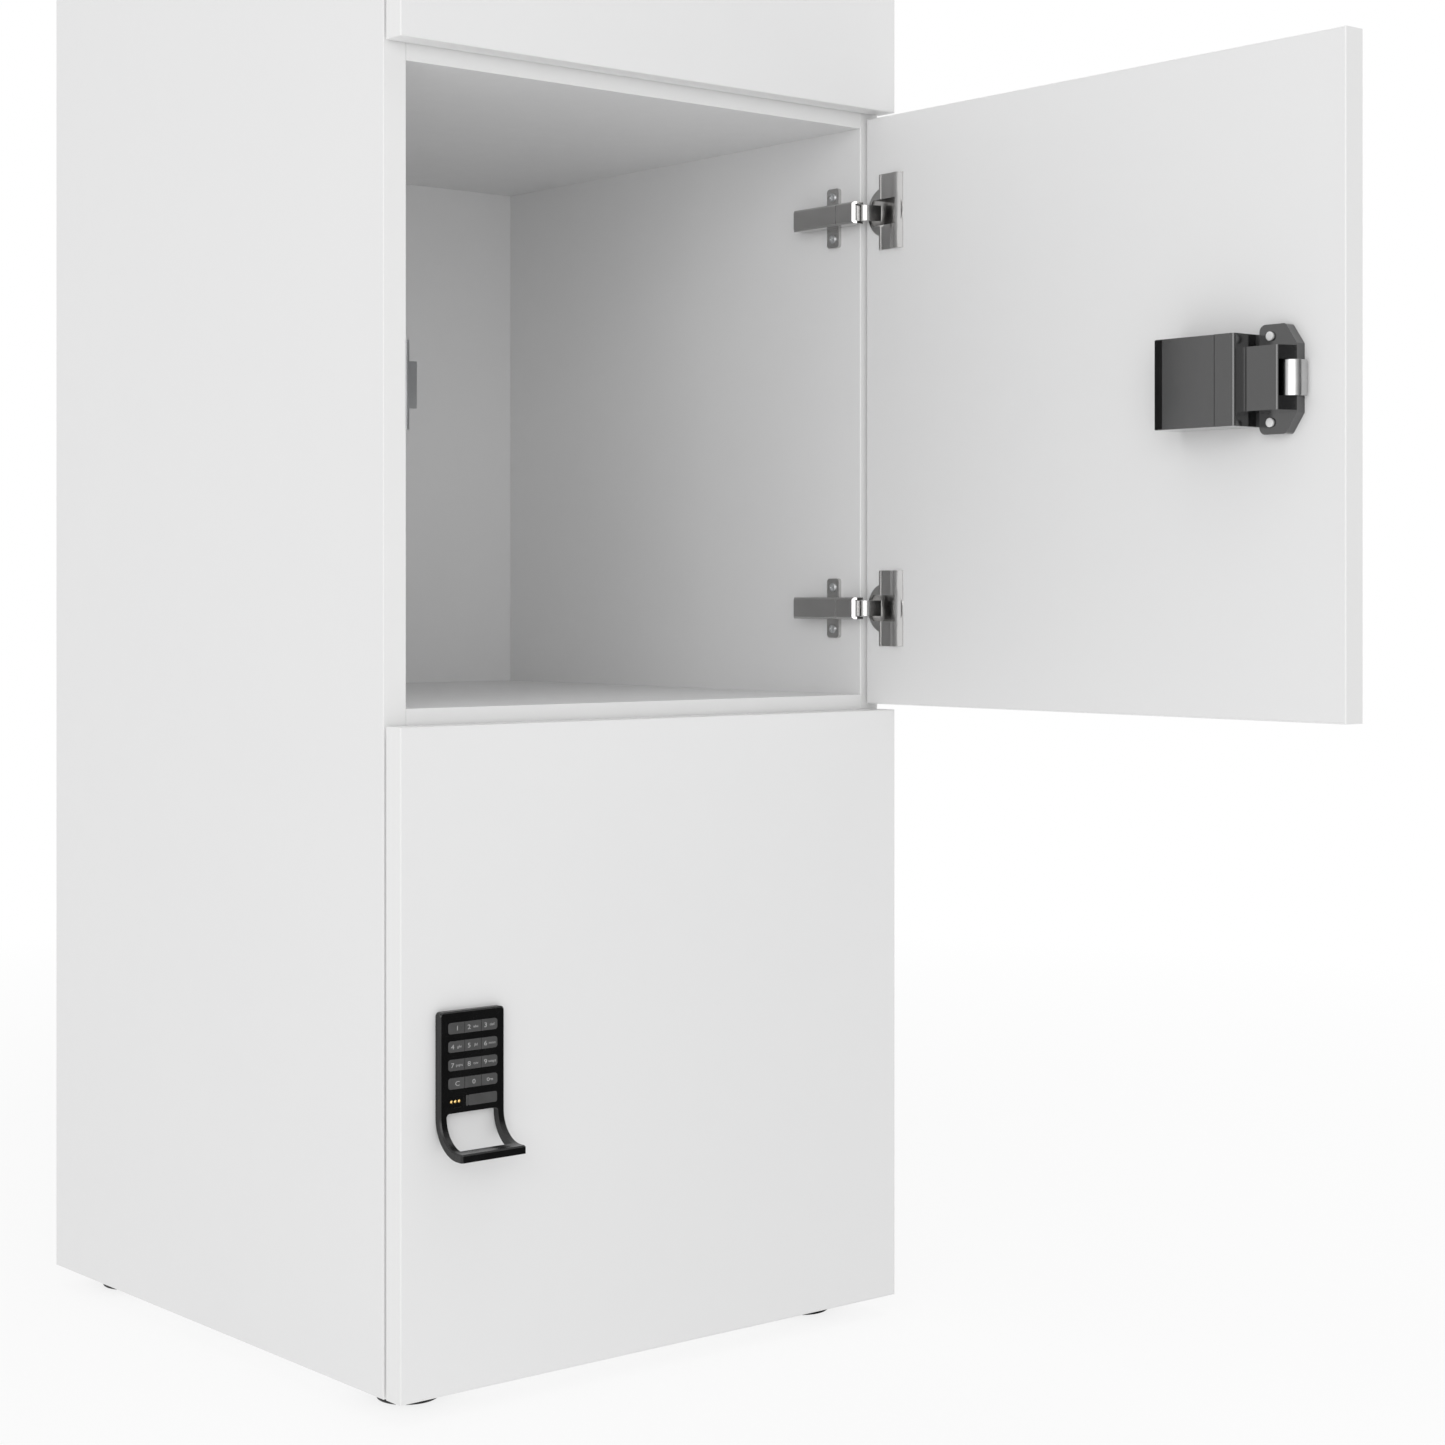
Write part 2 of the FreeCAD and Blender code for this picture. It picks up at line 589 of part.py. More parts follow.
def door_panel(tier):
    """Door board inside its edge bands, drilled for the cups and the lock."""
    low, high = door_bottom(tier) + BAND, door_bottom(tier) + DOOR_HEIGHT - BAND
    board = box(-DOOR_HINGE_EDGE + BAND, DOOR_HINGE_EDGE - BAND, DOOR_OUT, DOOR_IN, low, high)
    holes = []
    for height in hinge_heights(tier):
        start = on_door(CUP_FROM_EDGE, -CUP_DEPTH - RUN_CLEARANCE, height)
        holes.append(rod(start, ALONG_Y, CUP_RADIUS + RUN_CLEARANCE, CUP_DEPTH + 1))
    for place in lock_screw_places(tier):
        start = place - ALONG_Y * (PANEL + 1)
        holes.append(rod(start, ALONG_Y, LOCK_SCREW_RADIUS + RUN_CLEARANCE, PANEL + 2))
    cable = Vector(LOCK_SCREW_X, DOOR_OUT - 1, door_middle(tier))
    holes.append(rod(cable, ALONG_Y, CABLE_RADIUS, PANEL + 2))
    return board.cut(holes)


def door_bands(tier):
    """Four strips round the door's edges, with soft outer corners."""
    low, high = door_bottom(tier), door_bottom(tier) + DOOR_HEIGHT
    edge = DOOR_HINGE_EDGE
    right = box(edge - BAND, edge, DOOR_OUT, DOOR_IN, low, high)
    left = mirrored(right)
    foot_strip = box(-edge + BAND, edge - BAND, DOOR_OUT, DOOR_IN, low, low + BAND)
    head_strip = box(-edge + BAND, edge - BAND, DOOR_OUT, DOOR_IN, high - BAND, high)
    radius = BAND_EDGE_RADIUS
    return [
        rounded(right, radius, ALONG_Z, lambda m: m.x > edge - 0.1),
        rounded(left, radius, ALONG_Z, lambda m: m.x < -edge + 0.1),
        rounded(foot_strip, radius, ALONG_X, lambda m: m.z < low + 0.1),
        rounded(head_strip, radius, ALONG_X, lambda m: m.z > high - 0.1)]


# --- lock, front side --------------------------------------------------------
def handle_point(out, down, tier):
    """Point in the handle's side view: outward from the door, down from its top."""
    x = LOCK_FROM_FREE_EDGE - HALF_WIDTH
    return Vector(x, DOOR_OUT - out, door_middle(tier) + HANDLE_RISE - down)


def handle_blank(tier):
    """Plate whose lower part curves out into a lip to pull by."""
    bend_out, bend_down = HANDLE_OUTER_RADIUS, HANDLE_CURVE_TOP

    def at(out, down):
        return handle_point(out, down, tier)

    def on_bend(radius, degrees):
        return at(bend_out - radius * cos(radians(degrees)), bend_down + radius * sin(radians(degrees)))

    outer, inner = HANDLE_OUTER_RADIUS, HANDLE_INNER_RADIUS
    low, high = bend_down + outer, bend_down + inner
    side = loop(
        line(at(0, 0), at(HANDLE_PLATE, 0)),
        line(at(HANDLE_PLATE, 0), on_bend(inner, 0)),
        arc(on_bend(inner, 0), on_bend(inner, 45), on_bend(inner, 90)),
        line(on_bend(inner, 90), at(HANDLE_REACH, high)),
        line(at(HANDLE_REACH, high), at(HANDLE_REACH, low)),
        line(at(HANDLE_REACH, low), on_bend(outer, 90)),
        arc(on_bend(outer, 90), on_bend(outer, 45), on_bend(outer, 0)),
        line(on_bend(outer, 0), at(0, 0)))
    blank = side.extrude(ALONG_X * HANDLE_WIDTH)
    top = at(0, 0).z
    lip_y = DOOR_OUT - HANDLE_REACH
    blank = rounded(blank, HANDLE_CORNER, ALONG_Y, lambda m: m.z > top - 0.1)
    blank = rounded(blank, HANDLE_LIP_CORNER, ALONG_Z, lambda m: m.y < lip_y + 0.1)
    front_y = DOOR_OUT - HANDLE_PLATE
    rim = [edge for edge in blank.Edges if abs(edge.CenterOfMass.y - front_y) < 1.2
           and edge.BoundBox.YLength < 0.01]
    return blank.makeChamfer(HANDLE_CHAMFER, rim)


def front_pocket(x0, x1, down0, down1, depth, radius, tier):
    """Rounded pocket cut back from the handle plate's front face."""
    front_y = DOOR_OUT - HANDLE_PLATE
    top = door_middle(tier) + HANDLE_RISE
    pocket = box(x0, x1, front_y - 1, front_y + depth, top - down1, top - down0)
    return rounded(pocket, radius, ALONG_Y)


def key_block_left():
    return LOCK_FROM_FREE_EDGE - HALF_WIDTH + KEY_BLOCK_INSET


def handle(tier):
    """Handle casting with its window, key pockets and blind screw holes."""
    blank = handle_blank(tier)
    top = door_middle(tier) + HANDLE_RISE
    left = LOCK_FROM_FREE_EDGE - HALF_WIDTH
    right = left + HANDLE_WIDTH
    window = box(left + HANDLE_RAIL, right - HANDLE_RAIL, DOOR_OUT - HANDLE_REACH + HANDLE_LIP,
                 DOOR_OUT + 1, top - 120, top - WINDOW_TOP)
    window = rounded(window, 2.5, ALONG_Y, lambda m: m.z > top - WINDOW_TOP - 0.1)
    x0, x1 = key_block_left(), key_block_left() + KEY_BLOCK_WIDTH
    cuts = [window]
    for row in range(KEY_ROWS):
        down = KEY_TOP + row * KEY_PITCH
        cuts.append(front_pocket(x0 - KEY_CLEARANCE, x1 + KEY_CLEARANCE, down - KEY_CLEARANCE,
                                 down + KEY_HEIGHT + KEY_CLEARANCE, KEY_POCKET, KEY_END_RADIUS, tier))
    down = KEY_TOP + KEY_ROWS * KEY_PITCH
    cuts.append(front_pocket(x0, x0 + CONTACT_POCKET_WIDTH, down, down + KEY_HEIGHT,
                             CONTACT_POCKET_DEPTH, 1.0, tier))
    cuts.append(front_pocket(x0 + BAR_POCKET_START, x1, down, down + KEY_HEIGHT,
                             BAR_POCKET_DEPTH, 1.5, tier))
    for place in lock_screw_places(tier):
        start = place - ALONG_Y * (PANEL + LOCK_SCREW_IN_HANDLE + 0.2)
        cuts.append(rod(start, ALONG_Y, LOCK_SCREW_RADIUS + RUN_CLEARANCE / 2, 6))
    return blank.cut(cuts)


def key(row, column, tier):
    """One key: the end keys of a row have round outer corners."""
    width = (KEY_BLOCK_WIDTH - (KEY_COLUMNS - 1) * KEY_GAP) / KEY_COLUMNS
    x0 = key_block_left() + column * (width + KEY_GAP)
    top = door_middle(tier) + HANDLE_RISE - KEY_TOP - row * KEY_PITCH
    front = DOOR_OUT - HANDLE_PLATE - KEY_PROUD
    cap = box(x0, x0 + width, front, front + KEY_THICK, top - KEY_HEIGHT, top)
    if column == 0:
        cap = rounded(cap, KEY_END_RADIUS, ALONG_Y, lambda m: m.x < x0 + 0.1)
    if column == KEY_COLUMNS - 1:
        cap = rounded(cap, KEY_END_RADIUS, ALONG_Y, lambda m: m.x > x0 + width - 0.1)
    rim = [edge for edge in cap.Edges if abs(edge.CenterOfMass.y - front) < 0.01
           and edge.BoundBox.YLength < 0.01]
    return cap.makeChamfer(KEY_CHAMFER, rim)


# --- lock, rear side ---------------------------------------------------------
def behind(along, deep, z):
    """Point behind a closed door: along from the carcass's left face."""
    return Vector(along - HALF_WIDTH, DOOR_IN + deep, z)


def behind_box(along0, along1, deep0, deep1, z0, z1):
    start, end = behind(along0, deep0, z0), behind(along1, deep1, z1)
    return box(start.x, end.x, start.y, end.y, z0, z1)


def ears(middle):
    """Flange on the door, bevelled towards the free edge."""
    half = EAR_HALF_HEIGHT
    outline = [
        behind(EAR_END, 0, middle - half), behind(EAR_END, 0, middle + half),
        behind(BASE_START + EAR_CHAMFER_ALONG, 0, middle + half),
        behind(BASE_START, 0, middle + half - EAR_CHAMFER_UP),
        behind(BASE_START, 0, middle - half + EAR_CHAMFER_UP),
        behind(BASE_START + EAR_CHAMFER_ALONG, 0, middle - half)]
    flange = polygon(outline).extrude(ALONG_Y * EAR_THICK)
    inner_x = EAR_END - HALF_WIDTH
    flange = rounded(flange, 5.0, ALONG_Y, lambda m: m.x > inner_x - 0.1)
    return rounded(flange, 3.0, ALONG_Y, lambda m: abs(m.z - middle) > half - 0.1)


def bolt_case(middle):
    """Case round the bolt, whose front leans back towards its top."""
    low = middle - BLOCK_HALF_HEIGHT
    lean_end = BASE_START + BLOCK_LEAN
    outline = [
        behind(BASE_START, 0, low), behind(BASE_START, EAR_THICK, low), behind(lean_end, BLOCK_DEPTH, low),
        behind(BASE_BLOCK_END, BLOCK_DEPTH, low), behind(BASE_BLOCK_END, 0, low)]
    case = polygon(outline).extrude(ALONG_Z * (2 * BLOCK_HALF_HEIGHT))
    top_y = DOOR_IN + BLOCK_DEPTH - 0.1
    front_x = lean_end - HALF_WIDTH + 0.1
    case = rounded(case, CASE_EDGE_RADIUS, ALONG_Z, lambda m: m.y > top_y and m.x < front_x)
    groove = behind_box(GROOVE_START, GROOVE_END, BLOCK_DEPTH - GROOVE_DEPTH, BLOCK_DEPTH + 1,
                        middle - 40, middle + 40)
    return case.cut(groove)


def lock_base(tier):
    """Rear moulding: ears, bolt case and the step up to the battery cover."""
    middle = door_middle(tier)
    step = behind_box(BASE_BLOCK_END, BOX_SEAM, 0, BOX_DEPTH,
                      middle - BOX_HALF_HEIGHT, middle + BOX_HALF_HEIGHT)
    corner_x = BASE_BLOCK_END - HALF_WIDTH + 1
    step = rounded(step, CASE_EDGE_RADIUS, ALONG_Z, lambda m: m.y > DOOR_IN + 1 and m.x < corner_x)
    snout_start = Vector(LOCK_SCREW_X, DOOR_OUT + 0.5, middle)
    snout = rod(snout_start, ALONG_Y, CABLE_RADIUS - RUN_CLEARANCE, PANEL + 1)
    whole = fused(ears(middle), bolt_case(middle), step, snout)
    holes = [bolt_channel(middle)]
    for place in lock_screw_places(tier):
        holes.append(rod(place - ALONG_Y, ALONG_Y, LOCK_SCREW_RADIUS + RUN_CLEARANCE, 20))
    return whole.cut(holes)


def bolt_channel(middle):
    """Guide for the bolt, deep enough for it to draw back, and the mouth above it."""
    slack = RUN_CLEARANCE
    low, high = middle - BOLT_HEIGHT / 2 - slack, middle + BOLT_HEIGHT / 2 + slack
    guide_end = BASE_START + BOLT_LENGTH - BOLT_TIP + BOLT_SLACK
    guide = behind_box(BASE_START - 1, guide_end, BOLT_LOW - slack, BOLT_HIGH + slack, low, high)
    mouth = behind_box(BASE_START - 1, BASE_START + BOLT_MOUTH, BOLT_HIGH,
                       BLOCK_DEPTH - BOLT_MOUTH_ROOF, low, high)
    return guide.fuse(mouth)


def lock_bolt(tier):
    """Latch bolt with a rounded nose, withdrawn."""
    middle = door_middle(tier)
    tip, back = BASE_START - BOLT_TIP, BASE_START - BOLT_TIP + BOLT_LENGTH
    low = middle - BOLT_HEIGHT / 2

    def at(along, deep):
        return behind(tip + along, deep, low)

    nose_low = BOLT_LOW + 4.0
    outline = loop(
        line(behind(back, BOLT_LOW, low), at(0, BOLT_LOW)),
        line(at(0, BOLT_LOW), at(0, nose_low)),
        arc(at(0, nose_low), at(BOLT_CURVE * 0.34, nose_low + 5.9), at(BOLT_CURVE, BOLT_HIGH)),
        line(at(BOLT_CURVE, BOLT_HIGH), behind(back, BOLT_HIGH, low)),
        line(behind(back, BOLT_HIGH, low), behind(back, BOLT_LOW, low)))
    return outline.extrude(ALONG_Z * BOLT_HEIGHT)


def lock_cover(tier):
    """Hollow battery cover."""
    middle = door_middle(tier)
    half = BOX_HALF_HEIGHT
    start = BOX_SEAM + BOX_SEAM_GAP
    far_x = BOX_END - HALF_WIDTH - 5
    shell = behind_box(start, BOX_END, 0, BOX_DEPTH, middle - half, middle + half)
    shell = rounded(shell, BOX_END_RADIUS, ALONG_Z, lambda m: m.y > DOOR_IN + 1 and m.x > far_x)
    inside = behind_box(start + BOX_WALL, BOX_END - BOX_WALL, -1, BOX_DEPTH - BOX_WALL,
                        middle - half + BOX_WALL, middle + half - BOX_WALL)
    inner_radius = BOX_END_RADIUS - BOX_WALL
    inside = rounded(inside, inner_radius, ALONG_Z, lambda m: m.y > DOOR_IN + 1 and m.x > far_x)
    return shell.cut(inside)


def lock_screw(place):
    """Machine screw from the rear flange through the door into the handle."""
    reach = PANEL + LOCK_SCREW_IN_HANDLE
    shank = rod(place - ALONG_Y * reach, ALONG_Y, LOCK_SCREW_RADIUS, reach + EAR_THICK)
    head = rod(place + ALONG_Y * EAR_THICK, ALONG_Y, LOCK_SCREW_HEAD_RADIUS, LOCK_SCREW_HEAD)
    return shank.fuse(head)


def build_lock(tier):
    keys = [key(row, column, tier) for row in range(KEY_ROWS) for column in range(KEY_COLUMNS)]
    if tier == 1:
        for name, shape in zip(KEY_NAMES, keys):
            export("lock_1_key_" + name, with_door(shape, tier))
    else:
        export("lock_%d_keys" % tier, *[with_door(shape, tier) for shape in keys])
    export("lock_%d_handle" % tier, with_door(handle(tier), tier))
    export("lock_%d_base" % tier, with_door(lock_base(tier), tier))
    export("lock_%d_battery_cover" % tier, with_door(lock_cover(tier), tier))
    export("lock_%d_bolt" % tier, with_door(lock_bolt(tier), tier))
    screws = [with_door(lock_screw(place), tier) for place in lock_screw_places(tier)]
    export("lock_%d_screws" % tier, *screws)


def build_doors():
    for tier in range(1, TIERS + 1):
        export("door_%d_panel" % tier, with_door(door_panel(tier), tier))
        export("door_%d_edge_bands" % tier, *[with_door(band, tier) for band in door_bands(tier)])
        build_lock(tier)


build_sides()
build_boards()
build_carcass_bands()
build_dowels()
build_feet()
build_hinges()
build_carcass_fittings()
build_doors()
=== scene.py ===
"""Looks of the parcel locker column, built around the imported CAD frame."""

import json
import math

import bmesh
import bpy
from mathutils import Matrix, Vector

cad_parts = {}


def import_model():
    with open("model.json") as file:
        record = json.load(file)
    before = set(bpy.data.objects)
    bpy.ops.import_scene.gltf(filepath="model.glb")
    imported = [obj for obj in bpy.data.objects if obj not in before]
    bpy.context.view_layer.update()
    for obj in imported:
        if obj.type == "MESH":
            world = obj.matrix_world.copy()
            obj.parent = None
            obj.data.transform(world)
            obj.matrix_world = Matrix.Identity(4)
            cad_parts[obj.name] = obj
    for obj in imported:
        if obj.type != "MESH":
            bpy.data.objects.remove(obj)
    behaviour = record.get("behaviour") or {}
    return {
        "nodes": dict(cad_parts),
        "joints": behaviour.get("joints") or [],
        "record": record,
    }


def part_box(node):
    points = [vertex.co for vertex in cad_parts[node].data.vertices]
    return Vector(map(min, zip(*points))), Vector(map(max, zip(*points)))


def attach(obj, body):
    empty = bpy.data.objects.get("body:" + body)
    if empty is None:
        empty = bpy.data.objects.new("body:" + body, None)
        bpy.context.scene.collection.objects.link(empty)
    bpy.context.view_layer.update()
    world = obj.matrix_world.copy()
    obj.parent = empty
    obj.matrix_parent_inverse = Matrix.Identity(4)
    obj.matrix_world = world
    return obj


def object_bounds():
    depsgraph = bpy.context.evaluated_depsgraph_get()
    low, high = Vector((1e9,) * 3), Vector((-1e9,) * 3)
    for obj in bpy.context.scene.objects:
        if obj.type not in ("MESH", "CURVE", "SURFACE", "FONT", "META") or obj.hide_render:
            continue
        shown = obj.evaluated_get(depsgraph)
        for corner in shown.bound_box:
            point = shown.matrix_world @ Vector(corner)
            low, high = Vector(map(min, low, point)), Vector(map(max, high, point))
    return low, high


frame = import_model()
cad_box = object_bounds()

MM = 0.001
nodes = frame["nodes"]
scene = bpy.context.scene

TIERS = (1, 2, 3)
OPEN_TIER = 2                              # this tier's door rests open

# finishes and studio
DRAWN_DEPTH = 0.000006                     # of the fine lines in drawn steel
BOLT_BRIGHT_END, BOLT_DARK_START = 0.0065, 0.0120    # from the bolt's nose: where the painted shade and dark reflection begin, and where they are full
UNLIT_SIDE = Vector((0.66, -0.75, 0.0))    # reflections see the dark part of the studio there
SURROUND = 0.68                            # brightness of the surround on matt surfaces
MIRRORED_BRIGHT, MIRRORED_DARK = 0.95, 0.06          # and in reflections, by direction
SURROUND_UNLIT, FLOOR_UNLIT = (0.35, 0.90), (0.30, 0.85)       # cosines from lit to unlit
FLOOR_UNLIT_SHARE = 0.97
FLOOR_HALF = 30.0
FLOOR_GLOW_NEAR = 0.78                     # share of plain white mixed into the floor at the object
FLOOR_FADE_START, FLOOR_FADE_END = 0.7, 2.2          # distance over which it turns all white
KEY_LIGHT = {"place": (-2.65, -3.1, 1.3), "target": (0.1, -0.3, 0.7), "size": (3.0, 2.4), "power": 40.0}
TOP_LIGHT = {"place": (0.3, -0.6, 3.6), "target": (0.0, -0.3, 0.5), "size": (3.0, 3.0), "power": 24.0}

# CAD meshes: corners closer than this are one; flat below, sharp above these angles, in degrees
MERGE_WITHIN = 2e-6
FLAT_FACES, SHARP_EDGE = 0.4, 32.0

# camera: level, its frame lowered
SENSOR_WIDTH, LENS, FRAME_SHIFT = 36.0, 67.773, -0.0870
CAMERA_AT = (-1.21374, -2.00883, 0.53377)
CAMERA_TURN = -39.964                      # degrees about the vertical, from looking along +Y

# printed legends: key name, main character, small letters
KEY_LEGENDS = (
    ("1", "1", ""), ("2", "2", "abc"), ("3", "3", "def"), ("4", "4", "ghi"), ("5", "5", "jkl"),
    ("6", "6", "mno"), ("7", "7", "pqrs"), ("8", "8", "tuv"), ("9", "9", "wxyz"),
    ("clear", "C", ""), ("0", "0", ""), ("enter", "key", ""))
FONT_HEIGHT = 0.70                         # height of a digit in Blender's own font at size 1
FONT_WIDEN = 1.25
DIGIT_HEIGHT, LETTER_HEIGHT = 3.1 * MM, 1.75 * MM
INK_THICK = 0.06 * MM
DIGIT_AT, LETTERS_AT, SINGLE_AT, SYMBOL_AT = 0.24, 0.66, 0.54, 0.52    # along the key's width
RING_OUTER, RING_INNER, RING_AT = 1.15 * MM, 0.72 * MM, -1.5 * MM
SYMBOL_BARS = ((-0.36, 2.3, -0.21, 0.21), (1.25, 1.67, -1.0, -0.2), (1.95, 2.3, -0.8, -0.2))

# details under the keys, in mm; lengths run from the key block's left end
KEY_PROUD, CONTACT_POCKET, PLATE_POCKET = 0.5, 1.0, 0.8
CONTACTS_ALONG = (3.3, 6.4, 9.5)
CONTACT_PROFILE = ((0, 0), (1.25, 0), (1.25, 0.25), (1.0, 0.35), (0.8, 0.75), (0.45, 0.98), (0, 1.05))
PLATE_START, PLATE_SPLIT, PLATE_SPLIT_HALF = 14.2, 15.9, 0.15
PLATE_INSET, PLATE_THICK = 0.2, 0.95
PLATE_CORNERS = (0.6, 1.3)

# battery cover's end strip and the screws' caps, in mm
STRIP_PROUD, STRIP_RADIUS, STRIP_FLAT, STRIP_FROM_ENDS = 0.12, 5.0, 4.0, 0.6
STRIP_STEPS = 10
CAP_FROM_END = 2.8
CAP_PROFILE = ((0, -0.3), (3.0, -0.3), (3.05, 0), (2.95, 0.14), (2.6, 0.24), (1.4, 0.32), (0, 0.34))

# damper blocks in the hinge cups, in mm
WING_HALF, CUP_FLOOR, EDGE_FROM_PIVOT = 28.7, 0.8, 6.3
INSERT_BLOCKS = ((26.2, 31.6, 3.0), (32.2, 34.6, 1.6))     # from and to, from the door's edge; height
INSERT_HALF, INSERT_CORNER = 9.2, 1.0


def grey(level):
    return (level, level, level)


def in_metres(profile):
    return [tuple(value * MM for value in point) for point in profile]


# --- node-material helpers -----------------------------------------------------
class Shader:
    """A node material under construction, with short calls for the usual nodes."""

    def __init__(self, name):
        self.material = bpy.data.materials.new(name)
        self.material.use_nodes = True
        self.tree = self.material.node_tree
        self.bsdf = self.tree.nodes["Principled BSDF"]
        self.coords = self.tree.nodes.new("ShaderNodeTexCoord").outputs["Object"]

    def node(self, kind, **settings):
        made = self.tree.nodes.new(kind)
        for key, value in settings.items():
            setattr(made, key, value)
        return made

    def link(self, output, target):
        """Join an output socket to an input socket."""
        self.tree.links.new(output, target)

    def stretched(self, x, y, z):
        """Object coordinates with each axis scaled."""
        mapping = self.node("ShaderNodeMapping")
        mapping.inputs["Scale"].default_value = (x, y, z)
        self.link(self.coords, mapping.inputs["Vector"])
        return mapping.outputs["Vector"]

    def noise(self, scale, detail=3.0, rough=0.55, coords=None, distortion=0.0):
        made = self.node("ShaderNodeTexNoise")
        made.inputs["Scale"].default_value = scale
        made.inputs["Detail"].default_value = detail
        made.inputs["Roughness"].default_value = rough
        made.inputs["Distortion"].default_value = distortion
        self.link(coords or self.coords, made.inputs["Vector"])
        return made.outputs["Fac"]

    def cells(self, scale):
        made = self.node("ShaderNodeTexVoronoi", feature="SMOOTH_F1")
        made.inputs["Scale"].default_value = scale
        self.link(self.coords, made.inputs["Vector"])
        return made.outputs["Distance"]

    def spread(self, value, low, high, from_low=0.3, from_high=0.7):
        """Map a 0-1 value to the range low..high."""
        made = self.node("ShaderNodeMapRange", clamp=True)
        made.inputs["From Min"].default_value = from_low
        made.inputs["From Max"].default_value = from_high
        made.inputs["To Min"].default_value = low
        made.inputs["To Max"].default_value = high
        self.link(value, made.inputs["Value"])
        return made.outputs["Result"]

    def math(self, operation, a, b):
        made = self.node("ShaderNodeMath", operation=operation)
        for socket, value in zip(made.inputs, (a, b)):
            if isinstance(value, (int, float)):
                socket.default_value = value
            else:
                self.link(value, socket)
        return made.outputs[0]

    def blend(self, factor, first, second):
        """Colour between two colours or colour outputs."""
        made = self.node("ShaderNodeMix", data_type="RGBA")
        self.link(factor, made.inputs[0])
        for socket, value in ((made.inputs[6], first), (made.inputs[7], second)):
            if isinstance(value, tuple):
                socket.default_value = value + (1.0,)
            else:
                self.link(value, socket)
        return made.outputs[2]

    def edge_mask(self, radius):
        """1 near the piece's edges and 0 on its flats, from rounded normals."""
        bevel = self.node("ShaderNodeBevel", samples=4)
        bevel.inputs["Radius"].default_value = radius
        geometry = self.node("ShaderNodeNewGeometry")
        dot = self.node("ShaderNodeVectorMath", operation="DOT_PRODUCT")
        self.link(bevel.outputs["Normal"], dot.inputs[0])
        self.link(geometry.outputs["Normal"], dot.inputs[1])
        return self.spread(dot.outputs["Value"], 1.0, 0.0, 0.80, 0.995)

    def bump(self, height, strength, distance):
        made = self.node("ShaderNodeBump")
        made.inputs["Strength"].default_value = strength
        made.inputs["Distance"].default_value = distance
        self.link(height, made.inputs["Height"])
        return made.outputs["Normal"]

    def finish(self, colour, rough, normal=None, **values):
        """Connect the surface; values are Principled inputs with _ for spaces."""
        for name, value in (("Base Color", colour), ("Roughness", rough), ("Normal", normal)):
            if value is None:
                continue
            if isinstance(value, float):
                self.bsdf.inputs[name].default_value = value
            else:
                self.link(value, self.bsdf.inputs[name])
        for key, value in values.items():
            self.bsdf.inputs[key.replace("_", " ")].default_value = value
        return self.material


def melamine():
    """White melamine-faced board: fine pearl emboss and a faint cloudiness."""
    s = Shader("white_board")
    cloud = s.spread(s.noise(9.0, 4.0), 0.0, 1.0)
    colour = s.blend(cloud, (0.786, 0.786, 0.788), (0.790, 0.790, 0.790))
    pearl = s.cells(1500.0)
    soft = s.noise(420.0, 2.0)
    height = s.math("ADD", s.math("MULTIPLY", pearl, 0.6), soft)
    rough = s.spread(s.noise(60.0, 3.0), 0.40, 0.52)
    return s.finish(colour, rough, s.bump(height, 0.10, 0.00012), Specular_IOR_Level=0.45)


def edge_band():
    """Edge band: a touch smoother and brighter than the board, with drawn lines."""
    s = Shader("white_edge_band")
    tone = s.spread(s.noise(22.0, 3.0), 0.0, 1.0)
    colour = s.blend(tone, (0.796, 0.796, 0.794), (0.804, 0.804, 0.802))
    grain = s.noise(900.0, 2.0, coords=s.stretched(1.0, 1.0, 0.05))
    rough = s.spread(s.noise(160.0, 2.0), 0.32, 0.44)
    return s.finish(colour, rough, s.bump(grain, 0.08, 0.0001), Specular_IOR_Level=0.5)


def beech():
    """Beech dowel: long grain with short ray flecks."""
    s = Shader("beech")
    grain = s.noise(120.0, 5.0, coords=s.stretched(0.06, 1.0, 1.0), distortion=0.4)
    fleck = s.noise(700.0, 2.0, coords=s.stretched(0.15, 1.0, 1.0))
    base = s.blend(s.spread(grain, 0.0, 1.0), (0.60, 0.42, 0.25), (0.74, 0.57, 0.38))
    colour = s.blend(s.spread(fleck, 0.0, 0.5, 0.60, 0.75), base, (0.42, 0.27, 0.15))
    return s.finish(colour, s.spread(grain, 0.55, 0.75), s.bump(grain, 0.3, 0.0002))


def grained_plastic(name, dark, light, rough, grain_scale, depth, specular=0.5):
    """Moulded plastic with a spark-eroded grain and slightly rubbed edges."""
    s = Shader(name)
    grain = s.noise(grain_scale, 4.0, 0.65)
    mottled = s.blend(s.spread(s.noise(90.0, 3.0), 0.0, 1.0), dark, light)
    rubbed = tuple(min(1.0, c * 1.35 + 0.012) for c in light)
    worn = s.math("MULTIPLY", s.edge_mask(0.0005), s.spread(s.noise(380.0, 3.0), 0.25, 0.8))
    colour = s.blend(worn, mottled, rubbed)
    roughness = s.spread(s.noise(240.0, 3.0), rough - 0.05, rough + 0.07)
    return s.finish(colour, roughness, s.bump(grain, 0.35, depth), Specular_IOR_Level=specular)


def metal(name, dark, light, rough, lines, line_axes):
    """Plated or satin steel: fine drawn lines, faint stains, brighter edges."""
    s = Shader(name)
    drawn = s.noise(lines, 2.0, 0.5, s.stretched(*line_axes))
    stain = s.noise(45.0, 3.0, 0.5)
    base = s.blend(s.spread(stain, 0.0, 1.0), dark, light)
    bright = tuple(min(1.0, c * 1.3) for c in light)
    colour = s.blend(s.math("MULTIPLY", s.edge_mask(0.0004), 0.6), base, bright)
    roughness = s.math("ADD", s.spread(drawn, rough - 0.03, rough + 0.04),
                       s.spread(stain, -0.01, 0.015))
    return s.finish(colour, roughness, s.bump(drawn, 0.15, DRAWN_DEPTH), Metallic=1.0)


